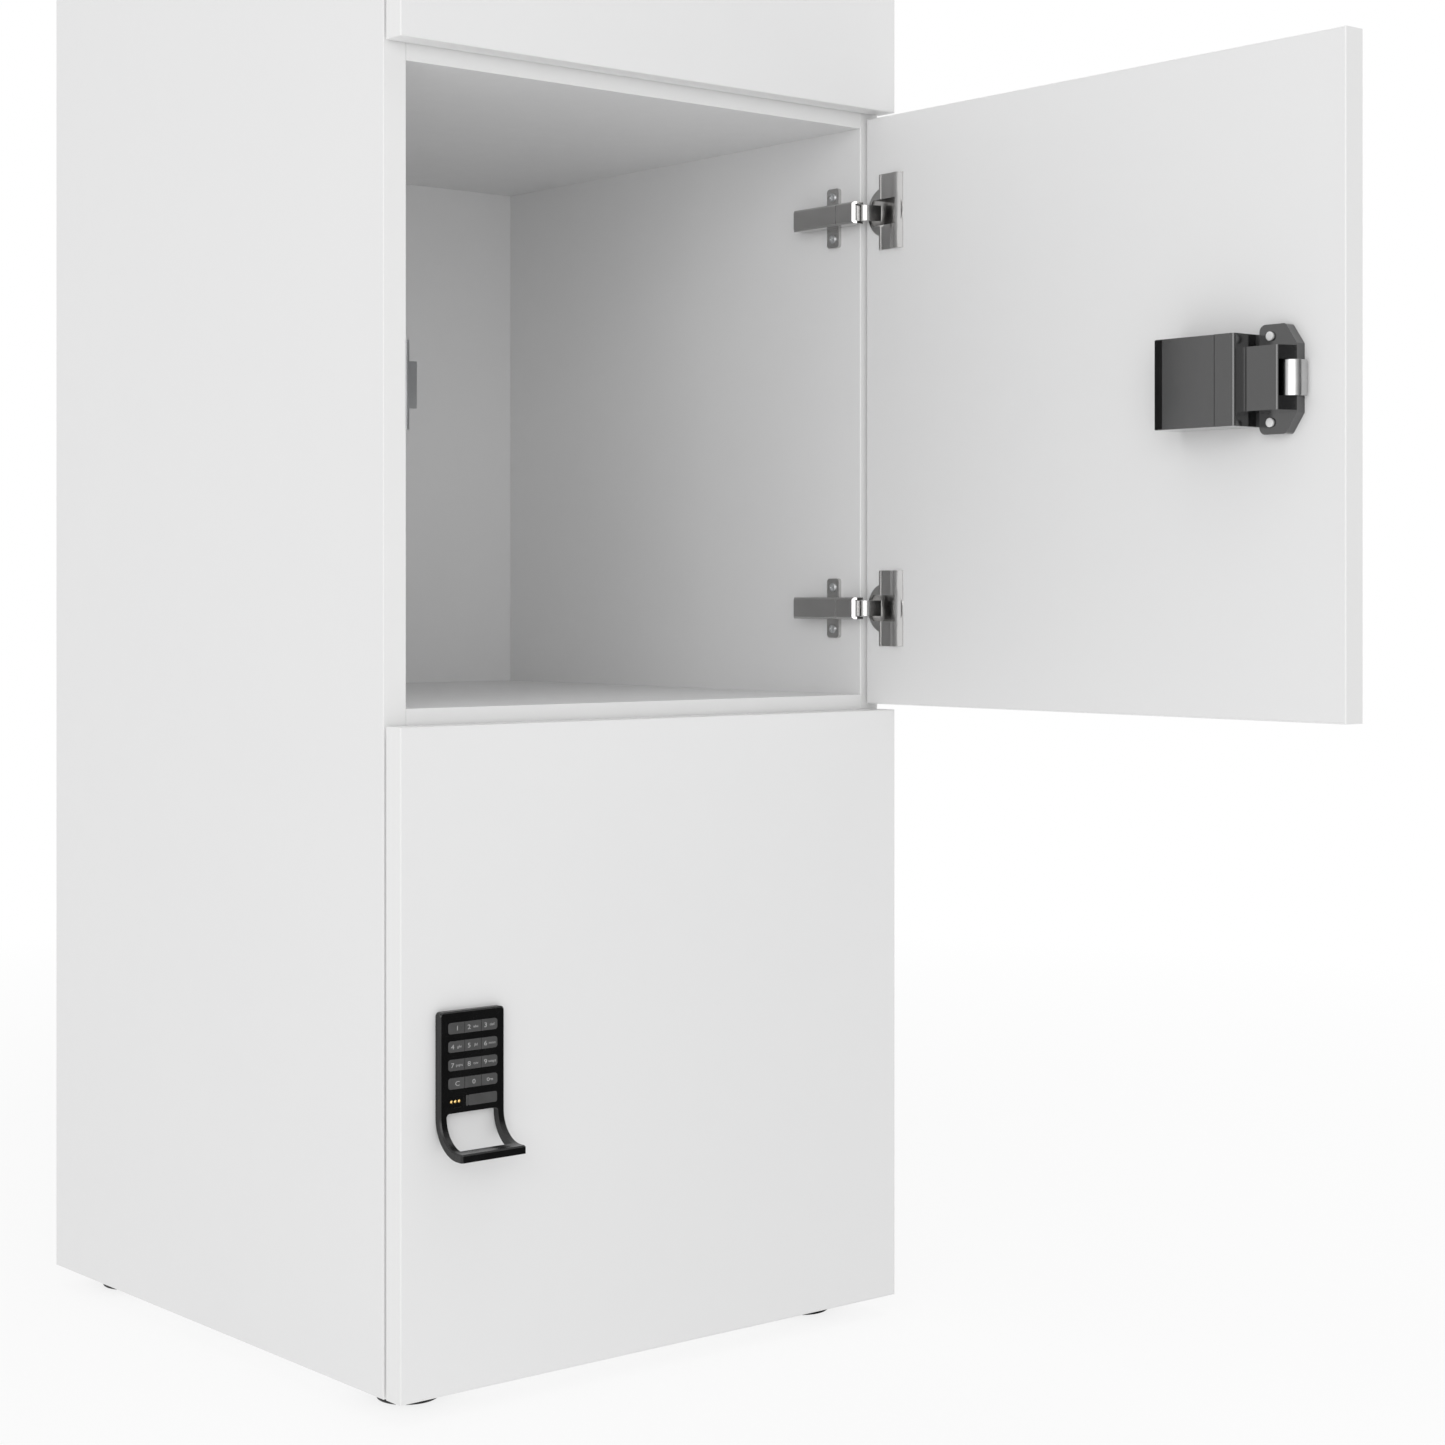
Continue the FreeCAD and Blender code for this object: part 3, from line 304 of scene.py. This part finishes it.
def bolt_steel(tier):
    """Satin steel of a bolt, darkened towards its root inside the case by painted shade and a painted
    dark reflection.
    """
    s = Shader("satin_steel_bolt_%d" % tier)
    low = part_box("lock_%d_bolt" % tier)[0]
    along, nose = ("Y", low.y) if tier == OPEN_TIER else ("X", low.x)
    split = s.node("ShaderNodeSeparateXYZ")
    s.link(s.coords, split.inputs[0])
    # painted shade: the steel turns near black towards the bolt's root, in place of the case's shade and
    # dark reflection
    painted_shade_at_root = s.spread(split.outputs[along], 0.0, 0.94, nose + BOLT_BRIGHT_END, nose + BOLT_DARK_START)
    drawn = s.noise(3000.0, 2.0, 0.5, s.stretched(1.0, 1.0, 0.03))
    stain = s.spread(s.noise(60.0, 3.0, 0.5), 0.0, 1.0)
    steel = s.blend(stain, grey(0.48), grey(0.55))
    colour = s.blend(painted_shade_at_root, steel, grey(0.02))
    return s.finish(colour, s.spread(drawn, 0.20, 0.27), s.bump(drawn, 0.15, DRAWN_DEPTH), Metallic=1.0)


def black_lacquer(name, tone, rough, coat, specular=0.5):
    """Black finish on the lock: faint orange peel, handling haze, lighter arrises."""
    s = Shader(name)
    peel = s.noise(650.0, 2.0, 0.5)
    haze = s.noise(55.0, 4.0, 0.6)
    dark, light = (tone, tone, tone * 1.03), (tone * 1.5, tone * 1.5, tone * 1.55)
    base = s.blend(s.spread(haze, 0.0, 1.0), dark, light)
    edge = s.math("MULTIPLY", s.edge_mask(0.0004), s.spread(s.noise(300.0, 2.0), 0.3, 0.7))
    colour = s.blend(edge, base, (0.03, 0.03, 0.031))
    roughness = s.spread(haze, rough - 0.03, rough + 0.05)
    return s.finish(colour, roughness, s.bump(peel, 0.12, 0.00005), Specular_IOR_Level=specular,
                    Coat_Weight=coat, Coat_Roughness=0.12)


def gold():
    """Gold-plated contact, slightly uneven."""
    s = Shader("gold_contact")
    tone = s.spread(s.noise(900.0, 3.0), 0.0, 1.0)
    colour = s.blend(tone, (0.80, 0.50, 0.16), (0.98, 0.72, 0.30))
    return s.finish(colour, s.spread(s.noise(1500.0, 2.0), 0.20, 0.32), Metallic=1.0)


def legend_ink():
    """Pale printed ink."""
    s = Shader("legend_ink")
    tone = s.spread(s.noise(2200.0, 3.0), 0.0, 1.0)
    colour = s.blend(tone, grey(0.36), grey(0.46))
    return s.finish(colour, 0.55)


def unlit_side(s, direction):
    """1 where a direction points to the unlit side of the studio, 0 elsewhere."""
    flat = s.node("ShaderNodeVectorMath", operation="NORMALIZE")
    s.link(direction, flat.inputs[0])
    towards = s.node("ShaderNodeVectorMath", operation="DOT_PRODUCT")
    s.link(flat.outputs["Vector"], towards.inputs[0])
    towards.inputs[1].default_value = UNLIT_SIDE.normalized()
    return s.spread(towards.outputs["Value"], 0.0, 1.0, *FLOOR_UNLIT)


def pale_floor():
    """Pale floor that fades into the white surround away from the object."""
    s = Shader("studio_floor")
    tone = s.spread(s.noise(0.8, 2.0), 0.0, 1.0)
    colour = s.blend(tone, grey(0.955), grey(0.962))
    s.finish(colour, 0.7, Specular_IOR_Level=0.2)
    away = s.node("ShaderNodeVectorMath", operation="LENGTH")
    s.link(s.coords, away.inputs[0])
    fade = s.spread(away.outputs["Value"], FLOOR_GLOW_NEAR, 1.0, FLOOR_FADE_START, FLOOR_FADE_END)
    mirrored = s.node("ShaderNodeLightPath").outputs["Is Glossy Ray"]
    dark = s.math("MULTIPLY", mirrored, unlit_side(s, s.coords))
    glow = s.node("ShaderNodeEmission")
    s.link(s.math("SUBTRACT", 1.0, s.math("MULTIPLY", dark, FLOOR_UNLIT_SHARE)), glow.inputs["Strength"])
    mix = s.node("ShaderNodeMixShader")
    output = s.tree.nodes["Material Output"]
    s.link(s.math("MAXIMUM", fade, dark), mix.inputs[0])
    s.link(s.bsdf.outputs[0], mix.inputs[1])
    s.link(glow.outputs[0], mix.inputs[2])
    s.link(mix.outputs[0], output.inputs["Surface"])
    return s.material


MATERIALS = {
    "white_board": melamine(),
    "white_edge_band": edge_band(),
    "beech": beech(),
    "black_foot": grained_plastic("black_foot", grey(0.004), grey(0.008), 0.5, 1800.0, 0.00008),
    "zinc_steel": metal("zinc_steel", (0.60, 0.61, 0.62), (0.72, 0.73, 0.74), 0.34, 900.0, (1, 1, 1)),
    "nickel_steel": metal("nickel_steel", (0.56, 0.555, 0.55), (0.60, 0.595, 0.59), 0.20, 3500.0,
                          (1.0, 0.03, 1.0)),
    "black_metal": black_lacquer("black_metal", 0.0035, 0.24, 0.0),
    "black_plastic": black_lacquer("black_plastic", 0.009, 0.14, 1.0, 0.85),
    "matt_black": grained_plastic("matt_black", grey(0.006), grey(0.009), 0.8, 2200.0, 0.00004, 0.1),
    "pale_screw": grained_plastic("pale_screw", grey(0.74), grey(0.80), 0.35, 1600.0, 0.00002),
    "grey_key": grained_plastic("grey_key", grey(0.066), grey(0.080), 0.55, 2600.0, 0.00003, 0.35),
    "insert": grained_plastic("dark_insert", grey(0.030), grey(0.042), 0.42, 2000.0, 0.00004),
    "gold": gold(),
    "ink": legend_ink(),
}


# --- CAD nodes: clean shading, softened edges, finishes --------------------------
def tidy_group():
    """Geometry nodes that join a node's split corners and drop its imported custom normals."""
    group = bpy.data.node_groups.new("tidy_cad_mesh", "GeometryNodeTree")
    group.interface.new_socket("Geometry", in_out="INPUT", socket_type="NodeSocketGeometry")
    group.interface.new_socket("Geometry", in_out="OUTPUT", socket_type="NodeSocketGeometry")
    start = group.nodes.new("NodeGroupInput")
    end = group.nodes.new("NodeGroupOutput")
    drop = group.nodes.new("GeometryNodeRemoveAttribute")
    drop.inputs["Name"].default_value = "custom_normal"
    merge = group.nodes.new("GeometryNodeMergeByDistance")
    merge.inputs["Distance"].default_value = MERGE_WITHIN
    last = start
    for made in (drop, merge, end):
        group.links.new(last.outputs["Geometry"], made.inputs["Geometry"])
        last = made
    return group


TIDY = tidy_group()


def soften(name, width):
    """Give a CAD node narrow rounded edges, width in mm, by modifiers only."""
    obj = nodes[name]
    tidy = obj.modifiers.new("tidy", "NODES")
    tidy.node_group = TIDY
    flat = obj.modifiers.new("flat", "DECIMATE")
    flat.decimate_type = "DISSOLVE"
    flat.angle_limit = math.radians(FLAT_FACES)
    bevel = obj.modifiers.new("bevel", "BEVEL")
    bevel.width = width * MM
    bevel.segments = 2
    bevel.limit_method = "ANGLE"
    bevel.angle_limit = math.radians(SHARP_EDGE)
    bevel.use_clamp_overlap = True
    bevel.miter_outer = "MITER_ARC"
    normals = obj.modifiers.new("normals", "WEIGHTED_NORMAL")
    normals.keep_sharp = True


SLOT_OF = {part["node"]: part["material_slot"] for part in frame["record"]["subparts"]}


def finish_of(name):
    """Material of a CAD node: its slot's, and one of its own for each bolt."""
    for tier in TIERS:
        if name == "lock_%d_bolt" % tier:
            return bolt_steel(tier)
    return MATERIALS[SLOT_OF[name]]


for node_name, node_object in nodes.items():
    node_object.data.materials.clear()
    node_object.data.materials.append(finish_of(node_name))

EDGE_WIDTHS = (
    ("_panel", 0.35), ("shelf_", 0.35), ("_edge_bands", 0.2), ("_handle", 0.35), ("_base", 0.4),
    ("battery_cover", 0.5), ("_bolt", 0.3), ("_key", 0.12), ("hinge_arms", 0.25),
    ("hinge_arm_covers", 0.15), ("hinge_mounting", 0.3), ("hinge_links", 0.2), ("hinge_cups", 0.2),
    ("strike_plates", 0.25), ("foot_", 0.3), ("_screws", 0.15))    # mm
for node_name in nodes:
    for part_name, edge_width in EDGE_WIDTHS:
        if part_name in node_name:
            soften(node_name, edge_width)
            break


# --- detail pieces -----------------------------------------------------------------
SWING = {joint["name"]: joint for joint in frame["joints"]}


def to_tier(tier):
    """Matrix from the lowest door, closed, to where this tier's door rests."""
    joint, lowest = SWING["door_%d_swing" % tier], SWING["door_1_swing"]
    pivot = Vector(joint["pos_m"])
    rise = Matrix.Translation((0, 0, joint["pos_m"][2] - lowest["pos_m"][2]))
    opened = Matrix.Rotation(math.radians(-joint["range_deg"][0]), 4, "Z")
    return Matrix.Translation(pivot) @ opened @ Matrix.Translation(-pivot) @ rise


def piece(name, made, body, material, matrix=Matrix.Identity(4), smooth=True, edge=None):
    """Turn a bmesh into a piece that rides on a body."""
    bmesh.ops.remove_doubles(made, verts=made.verts, dist=1e-7)
    bmesh.ops.recalc_face_normals(made, faces=made.faces)
    mesh = bpy.data.meshes.new(name)
    made.to_mesh(mesh)
    made.free()
    mesh.transform(matrix)
    mesh.materials.append(MATERIALS[material])
    for face in mesh.polygons:
        face.use_smooth = smooth
    obj = bpy.data.objects.new(name, mesh)
    scene.collection.objects.link(obj)
    if edge:
        bevel = obj.modifiers.new("bevel", "BEVEL")
        bevel.width, bevel.segments = edge * MM, 3
        bevel.limit_method, bevel.angle_limit = "ANGLE", math.radians(35.0)
        obj.modifiers.new("normals", "WEIGHTED_NORMAL").keep_sharp = True
    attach(obj, body)


def prism(made, outline, low, high, to_point):
    """Closed solid between two copies of an outline; to_point maps (a, b, height)."""
    ends = [[made.verts.new(to_point(a, b, level)) for a, b in outline] for level in (low, high)]
    made.faces.new(ends[0])
    made.faces.new(list(reversed(ends[1])))
    count = len(outline)
    for i in range(count):
        j = (i + 1) % count
        made.faces.new((ends[0][j], ends[0][i], ends[1][i], ends[1][j]))


def rounded_outline(a0, a1, b0, b1, radius, steps=6):
    """Points round a rectangle with rounded corners."""
    points = []
    corners = ((a1 - radius, b1 - radius, 0), (a0 + radius, b1 - radius, 90),
               (a0 + radius, b0 + radius, 180), (a1 - radius, b0 + radius, 270))
    for a, b, start in corners:
        for step in range(steps + 1):
            turn = math.radians(start + 90.0 * step / steps)
            points.append((a + radius * math.cos(turn), b + radius * math.sin(turn)))
    return points


def lathe(made, profile, to_point, steps=28):
    """Solid of revolution. Its profile of (radius, height) starts and ends on the axis or closes."""
    rings = []
    for radius, height in profile:
        if radius == 0:
            rings.append([made.verts.new(to_point(0, 0, height))])
            continue
        turns = [2 * math.pi * i / steps for i in range(steps)]
        rings.append([made.verts.new(to_point(radius * math.cos(t), radius * math.sin(t), height))
                      for t in turns])
    for first, second in zip(rings, rings[1:]):
        for i in range(steps):
            j = (i + 1) % steps
            corners = [first[i % len(first)], first[j % len(first)],
                       second[j % len(second)], second[i % len(second)]]
            made.faces.new(list(dict.fromkeys(corners)))


def text_mesh(made, text, height, centre, y, thickness):
    """Add raised characters to a bmesh, facing -Y, centred at (x, z)."""
    curve = bpy.data.curves.new("glyphs", "FONT")
    curve.body = text
    curve.size = 1.0
    curve.resolution_u = 3
    carrier = bpy.data.objects.new("glyphs", curve)
    scene.collection.objects.link(carrier)
    bpy.context.view_layer.update()
    evaluated = carrier.evaluated_get(bpy.context.evaluated_depsgraph_get())
    flat = bpy.data.meshes.new_from_object(evaluated)
    bpy.data.objects.remove(carrier)
    bpy.data.curves.remove(curve)
    xs = [v.co.x for v in flat.vertices]
    middle_x = (min(xs) + max(xs)) / 2
    scale = height / FONT_HEIGHT
    glyphs = bmesh.new()
    glyphs.from_mesh(flat)
    bpy.data.meshes.remove(flat)
    bmesh.ops.remove_doubles(glyphs, verts=glyphs.verts, dist=1e-5)
    raised = bmesh.ops.extrude_face_region(glyphs, geom=glyphs.faces[:])
    for element in raised["geom"]:
        if isinstance(element, bmesh.types.BMVert):
            element.co.z = thickness / scale
    for vert in glyphs.verts:
        x = (vert.co.x - middle_x) * scale * FONT_WIDEN
        z = (vert.co.y - FONT_HEIGHT / 2) * scale
        vert.co = Vector((centre[0] + x, y + thickness / 2 - vert.co.z * scale, centre[1] + z))
    joined = bpy.data.meshes.new("glyphs")
    glyphs.to_mesh(joined)
    glyphs.free()
    made.from_mesh(joined)
    bpy.data.meshes.remove(joined)


def key_symbol(made, centre, y):
    """Small outline key: a ring, a shaft and two teeth."""
    def facing(a, b, height):
        return Vector((centre[0] + a, y + INK_THICK / 2 - height, centre[1] + b))

    ring = [(RING_INNER, 0), (RING_OUTER, 0), (RING_OUTER, INK_THICK), (RING_INNER, INK_THICK),
            (RING_INNER, 0)]
    lathe(made, ring, lambda a, b, height: facing(RING_AT + a, b, height), 24)
    for a0, a1, b0, b1 in in_metres(SYMBOL_BARS):
        prism(made, [(a0, b0), (a1, b0), (a1, b1), (a0, b1)], 0, INK_THICK, facing)


def legend(made, name, main, letters):
    """Printed legend of one key of the lowest lock."""
    low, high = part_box("lock_1_key_" + name)
    middle = (low.z + high.z) / 2

    def at(share):
        return (low.x + share * (high.x - low.x), middle)

    if main == "key":
        key_symbol(made, at(SYMBOL_AT), low.y)
    elif letters:
        text_mesh(made, main, DIGIT_HEIGHT, at(DIGIT_AT), low.y, INK_THICK)
        text_mesh(made, letters, LETTER_HEIGHT, at(LETTERS_AT), low.y, INK_THICK)
    else:
        text_mesh(made, main, DIGIT_HEIGHT, at(SINGLE_AT), low.y, INK_THICK)


def build_legends():
    """Legends on the moving keys of the lowest lock, and on the fixed keys of the others."""
    for name, main, letters in KEY_LEGENDS:
        made = bmesh.new()
        legend(made, name, main, letters)
        piece("lock_1_legend_" + name, made, "key_" + name, "ink", smooth=False)
    for tier in TIERS[1:]:
        made = bmesh.new()
        for name, main, letters in KEY_LEGENDS:
            legend(made, name, main, letters)
        piece("lock_%d_legends" % tier, made, "door_%d" % tier, "ink",
              to_tier(tier), smooth=False)


def contacts(tier, left, floor_y, middle):
    """Three sprung charging contacts in their pocket."""
    made = bmesh.new()
    for along in CONTACTS_ALONG:
        def facing(a, b, height, x=left + along * MM):
            return Vector((x + a, floor_y - height, middle + b))

        lathe(made, in_metres(CONTACT_PROFILE), facing, 20)
    piece("lock_%d_contacts" % tier, made, "door_%d" % tier, "gold", to_tier(tier))


def blank_plate(tier, left, right, floor_y, middle, half):
    """Narrow light bar and the blank plate beside it."""
    made = bmesh.new()
    start, split = left + (PLATE_START + PLATE_INSET) * MM, left + PLATE_SPLIT * MM
    spans = ((start, split - PLATE_SPLIT_HALF * MM),
             (split + PLATE_SPLIT_HALF * MM, right - PLATE_INSET * MM))
    reach = half - PLATE_INSET * MM
    for (x0, x1), corner in zip(spans, PLATE_CORNERS):
        outline = rounded_outline(x0, x1, middle - reach, middle + reach, corner * MM)
        prism(made, outline, 0, PLATE_THICK * MM, lambda a, b, height: Vector((a, floor_y - height, b)))
    piece("lock_%d_blank_plate" % tier, made, "door_%d" % tier, "grey_key", to_tier(tier),
          edge=0.15)


def build_lock_front_details():
    """Charging contacts and blank plate under the keys."""
    first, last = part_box("lock_1_key_clear"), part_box("lock_1_key_enter")
    row_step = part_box("lock_1_key_7")[0].z - first[0].z
    middle = (first[0].z + first[1].z) / 2 - row_step
    half = (first[1].z - first[0].z) / 2
    handle_y = first[0].y + KEY_PROUD * MM
    for tier in TIERS:
        contacts(tier, first[0].x, handle_y + CONTACT_POCKET * MM, middle)
        blank_plate(tier, first[0].x, last[1].x, handle_y + PLATE_POCKET * MM, middle, half)


def end_strip(tier):
    """Matt strip round the far corner of the battery cover."""
    low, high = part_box("lock_1_battery_cover")
    centre_x, centre_y = high.x - STRIP_RADIUS * MM, high.y - STRIP_RADIUS * MM

    def band(reach):
        """Path of the strip at one distance from the corner's centre."""
        turns = [math.radians(90.0 * i / STRIP_STEPS) for i in range(STRIP_STEPS + 1)]
        path = [(centre_x + reach * math.cos(t), centre_y + reach * math.sin(t)) for t in turns]
        return path + [(centre_x - STRIP_FLAT * MM, centre_y + reach)]

    outline = band((STRIP_RADIUS + STRIP_PROUD) * MM) + band((STRIP_RADIUS - STRIP_PROUD) * MM)[::-1]
    made = bmesh.new()
    prism(made, outline, low.z + STRIP_FROM_ENDS * MM, high.z - STRIP_FROM_ENDS * MM,
          lambda a, b, height: Vector((a, b, height)))
    piece("lock_%d_end_strip" % tier, made, "door_%d" % tier, "matt_black", to_tier(tier))


def screw_caps(tier):
    """Pale domed caps on the heads of the two through screws."""
    low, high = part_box("lock_1_screws")
    made = bmesh.new()
    for z in (low.z + CAP_FROM_END * MM, high.z - CAP_FROM_END * MM):
        def facing(a, b, height, z=z):
            return Vector(((low.x + high.x) / 2 + a, high.y + height, z + b))

        lathe(made, in_metres(CAP_PROFILE), facing)
    piece("lock_%d_screw_caps" % tier, made, "door_%d" % tier, "pale_screw", to_tier(tier))


def cup_inserts(tier):
    """Dark damper blocks on the floor of a door's two hinge cups, under the arm's nose."""
    low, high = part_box("door_1_hinge_cups")
    edge = SWING["door_1_swing"]["pos_m"][0] + EDGE_FROM_PIVOT * MM
    floor_y = low.y + CUP_FLOOR * MM
    made = bmesh.new()
    for z in (low.z + WING_HALF * MM, high.z - WING_HALF * MM):
        def upright(a, b, height, z=z):
            return Vector((edge - a, floor_y + height, z + b))

        for near, far, top in in_metres(INSERT_BLOCKS):
            outline = rounded_outline(near, far, -INSERT_HALF * MM, INSERT_HALF * MM, INSERT_CORNER * MM)
            prism(made, outline, 0, top, upright)
    piece("door_%d_cup_inserts" % tier, made, "door_%d" % tier, "insert",
          to_tier(tier), edge=0.4)


build_legends()
build_lock_front_details()
for door_tier in TIERS:
    end_strip(door_tier)
    screw_caps(door_tier)
for door_tier in TIERS:
    cup_inserts(door_tier)


# --- stage, light, camera --------------------------------------------------------
def floor():
    """Large plane under the feet."""
    mesh = bpy.data.meshes.new("floor")
    made = bmesh.new()
    sides = ((-1, -1), (1, -1), (1, 1), (-1, 1))
    corners = [made.verts.new((x * FLOOR_HALF, y * FLOOR_HALF, cad_box[0].z)) for x, y in sides]
    made.faces.new(corners)
    made.to_mesh(mesh)
    made.free()
    obj = bpy.data.objects.new("floor", mesh)
    obj.data.materials.append(pale_floor())
    scene.collection.objects.link(obj)


def world():
    """White surround. Seen directly it is pure white; reflections meet a dark quarter."""
    made = bpy.data.worlds.new("studio")
    scene.world = made
    made.use_nodes = True
    made.cycles.sampling_method = "NONE"
    tree = made.node_tree
    background = tree.nodes["Background"]
    coords = tree.nodes.new("ShaderNodeTexCoord")
    towards = tree.nodes.new("ShaderNodeVectorMath")
    towards.operation = "DOT_PRODUCT"
    tree.links.new(coords.outputs["Generated"], towards.inputs[0])
    towards.inputs[1].default_value = UNLIT_SIDE.normalized()
    dark = tree.nodes.new("ShaderNodeMapRange")
    dark.interpolation_type = "SMOOTHSTEP"
    dark.inputs["From Min"].default_value = SURROUND_UNLIT[0]
    dark.inputs["From Max"].default_value = SURROUND_UNLIT[1]
    dark.inputs["To Min"].default_value = MIRRORED_BRIGHT
    dark.inputs["To Max"].default_value = MIRRORED_DARK
    tree.links.new(towards.outputs["Value"], dark.inputs["Value"])
    rays = tree.nodes.new("ShaderNodeLightPath")
    glossy, direct = tree.nodes.new("ShaderNodeMix"), tree.nodes.new("ShaderNodeMix")
    glossy.inputs[2].default_value = SURROUND
    tree.links.new(rays.outputs["Is Glossy Ray"], glossy.inputs[0])
    tree.links.new(dark.outputs["Result"], glossy.inputs[3])
    tree.links.new(rays.outputs["Is Camera Ray"], direct.inputs[0])
    tree.links.new(glossy.outputs[0], direct.inputs[2])
    direct.inputs[3].default_value = 1.0
    tree.links.new(direct.outputs[0], background.inputs["Color"])


def softbox(name, place, target, size, power):
    """Rectangular area light aimed at a point."""
    light = bpy.data.lights.new(name, "AREA")
    light.shape = "RECTANGLE"
    light.size, light.size_y = size
    light.energy = power
    obj = bpy.data.objects.new(name, light)
    obj.location = place
    obj.rotation_euler = (Vector(target) - Vector(place)).to_track_quat("-Z", "Y").to_euler()
    scene.collection.objects.link(obj)


def camera():
    """Level camera in front and to the left, with a lowered frame."""
    data = bpy.data.cameras.new("camera")
    data.sensor_width = SENSOR_WIDTH
    data.lens = LENS
    data.shift_y = FRAME_SHIFT
    data.clip_start, data.clip_end = 0.05, 60.0
    obj = bpy.data.objects.new("camera", data)
    obj.location = CAMERA_AT
    obj.rotation_euler = (math.radians(90.0), 0.0, math.radians(CAMERA_TURN))
    scene.collection.objects.link(obj)
    scene.camera = obj


floor()
world()
softbox("key", **KEY_LIGHT)
softbox("top", **TOP_LIGHT)
camera()
scene.view_settings.view_transform = "Standard"
scene.view_settings.look = "None"
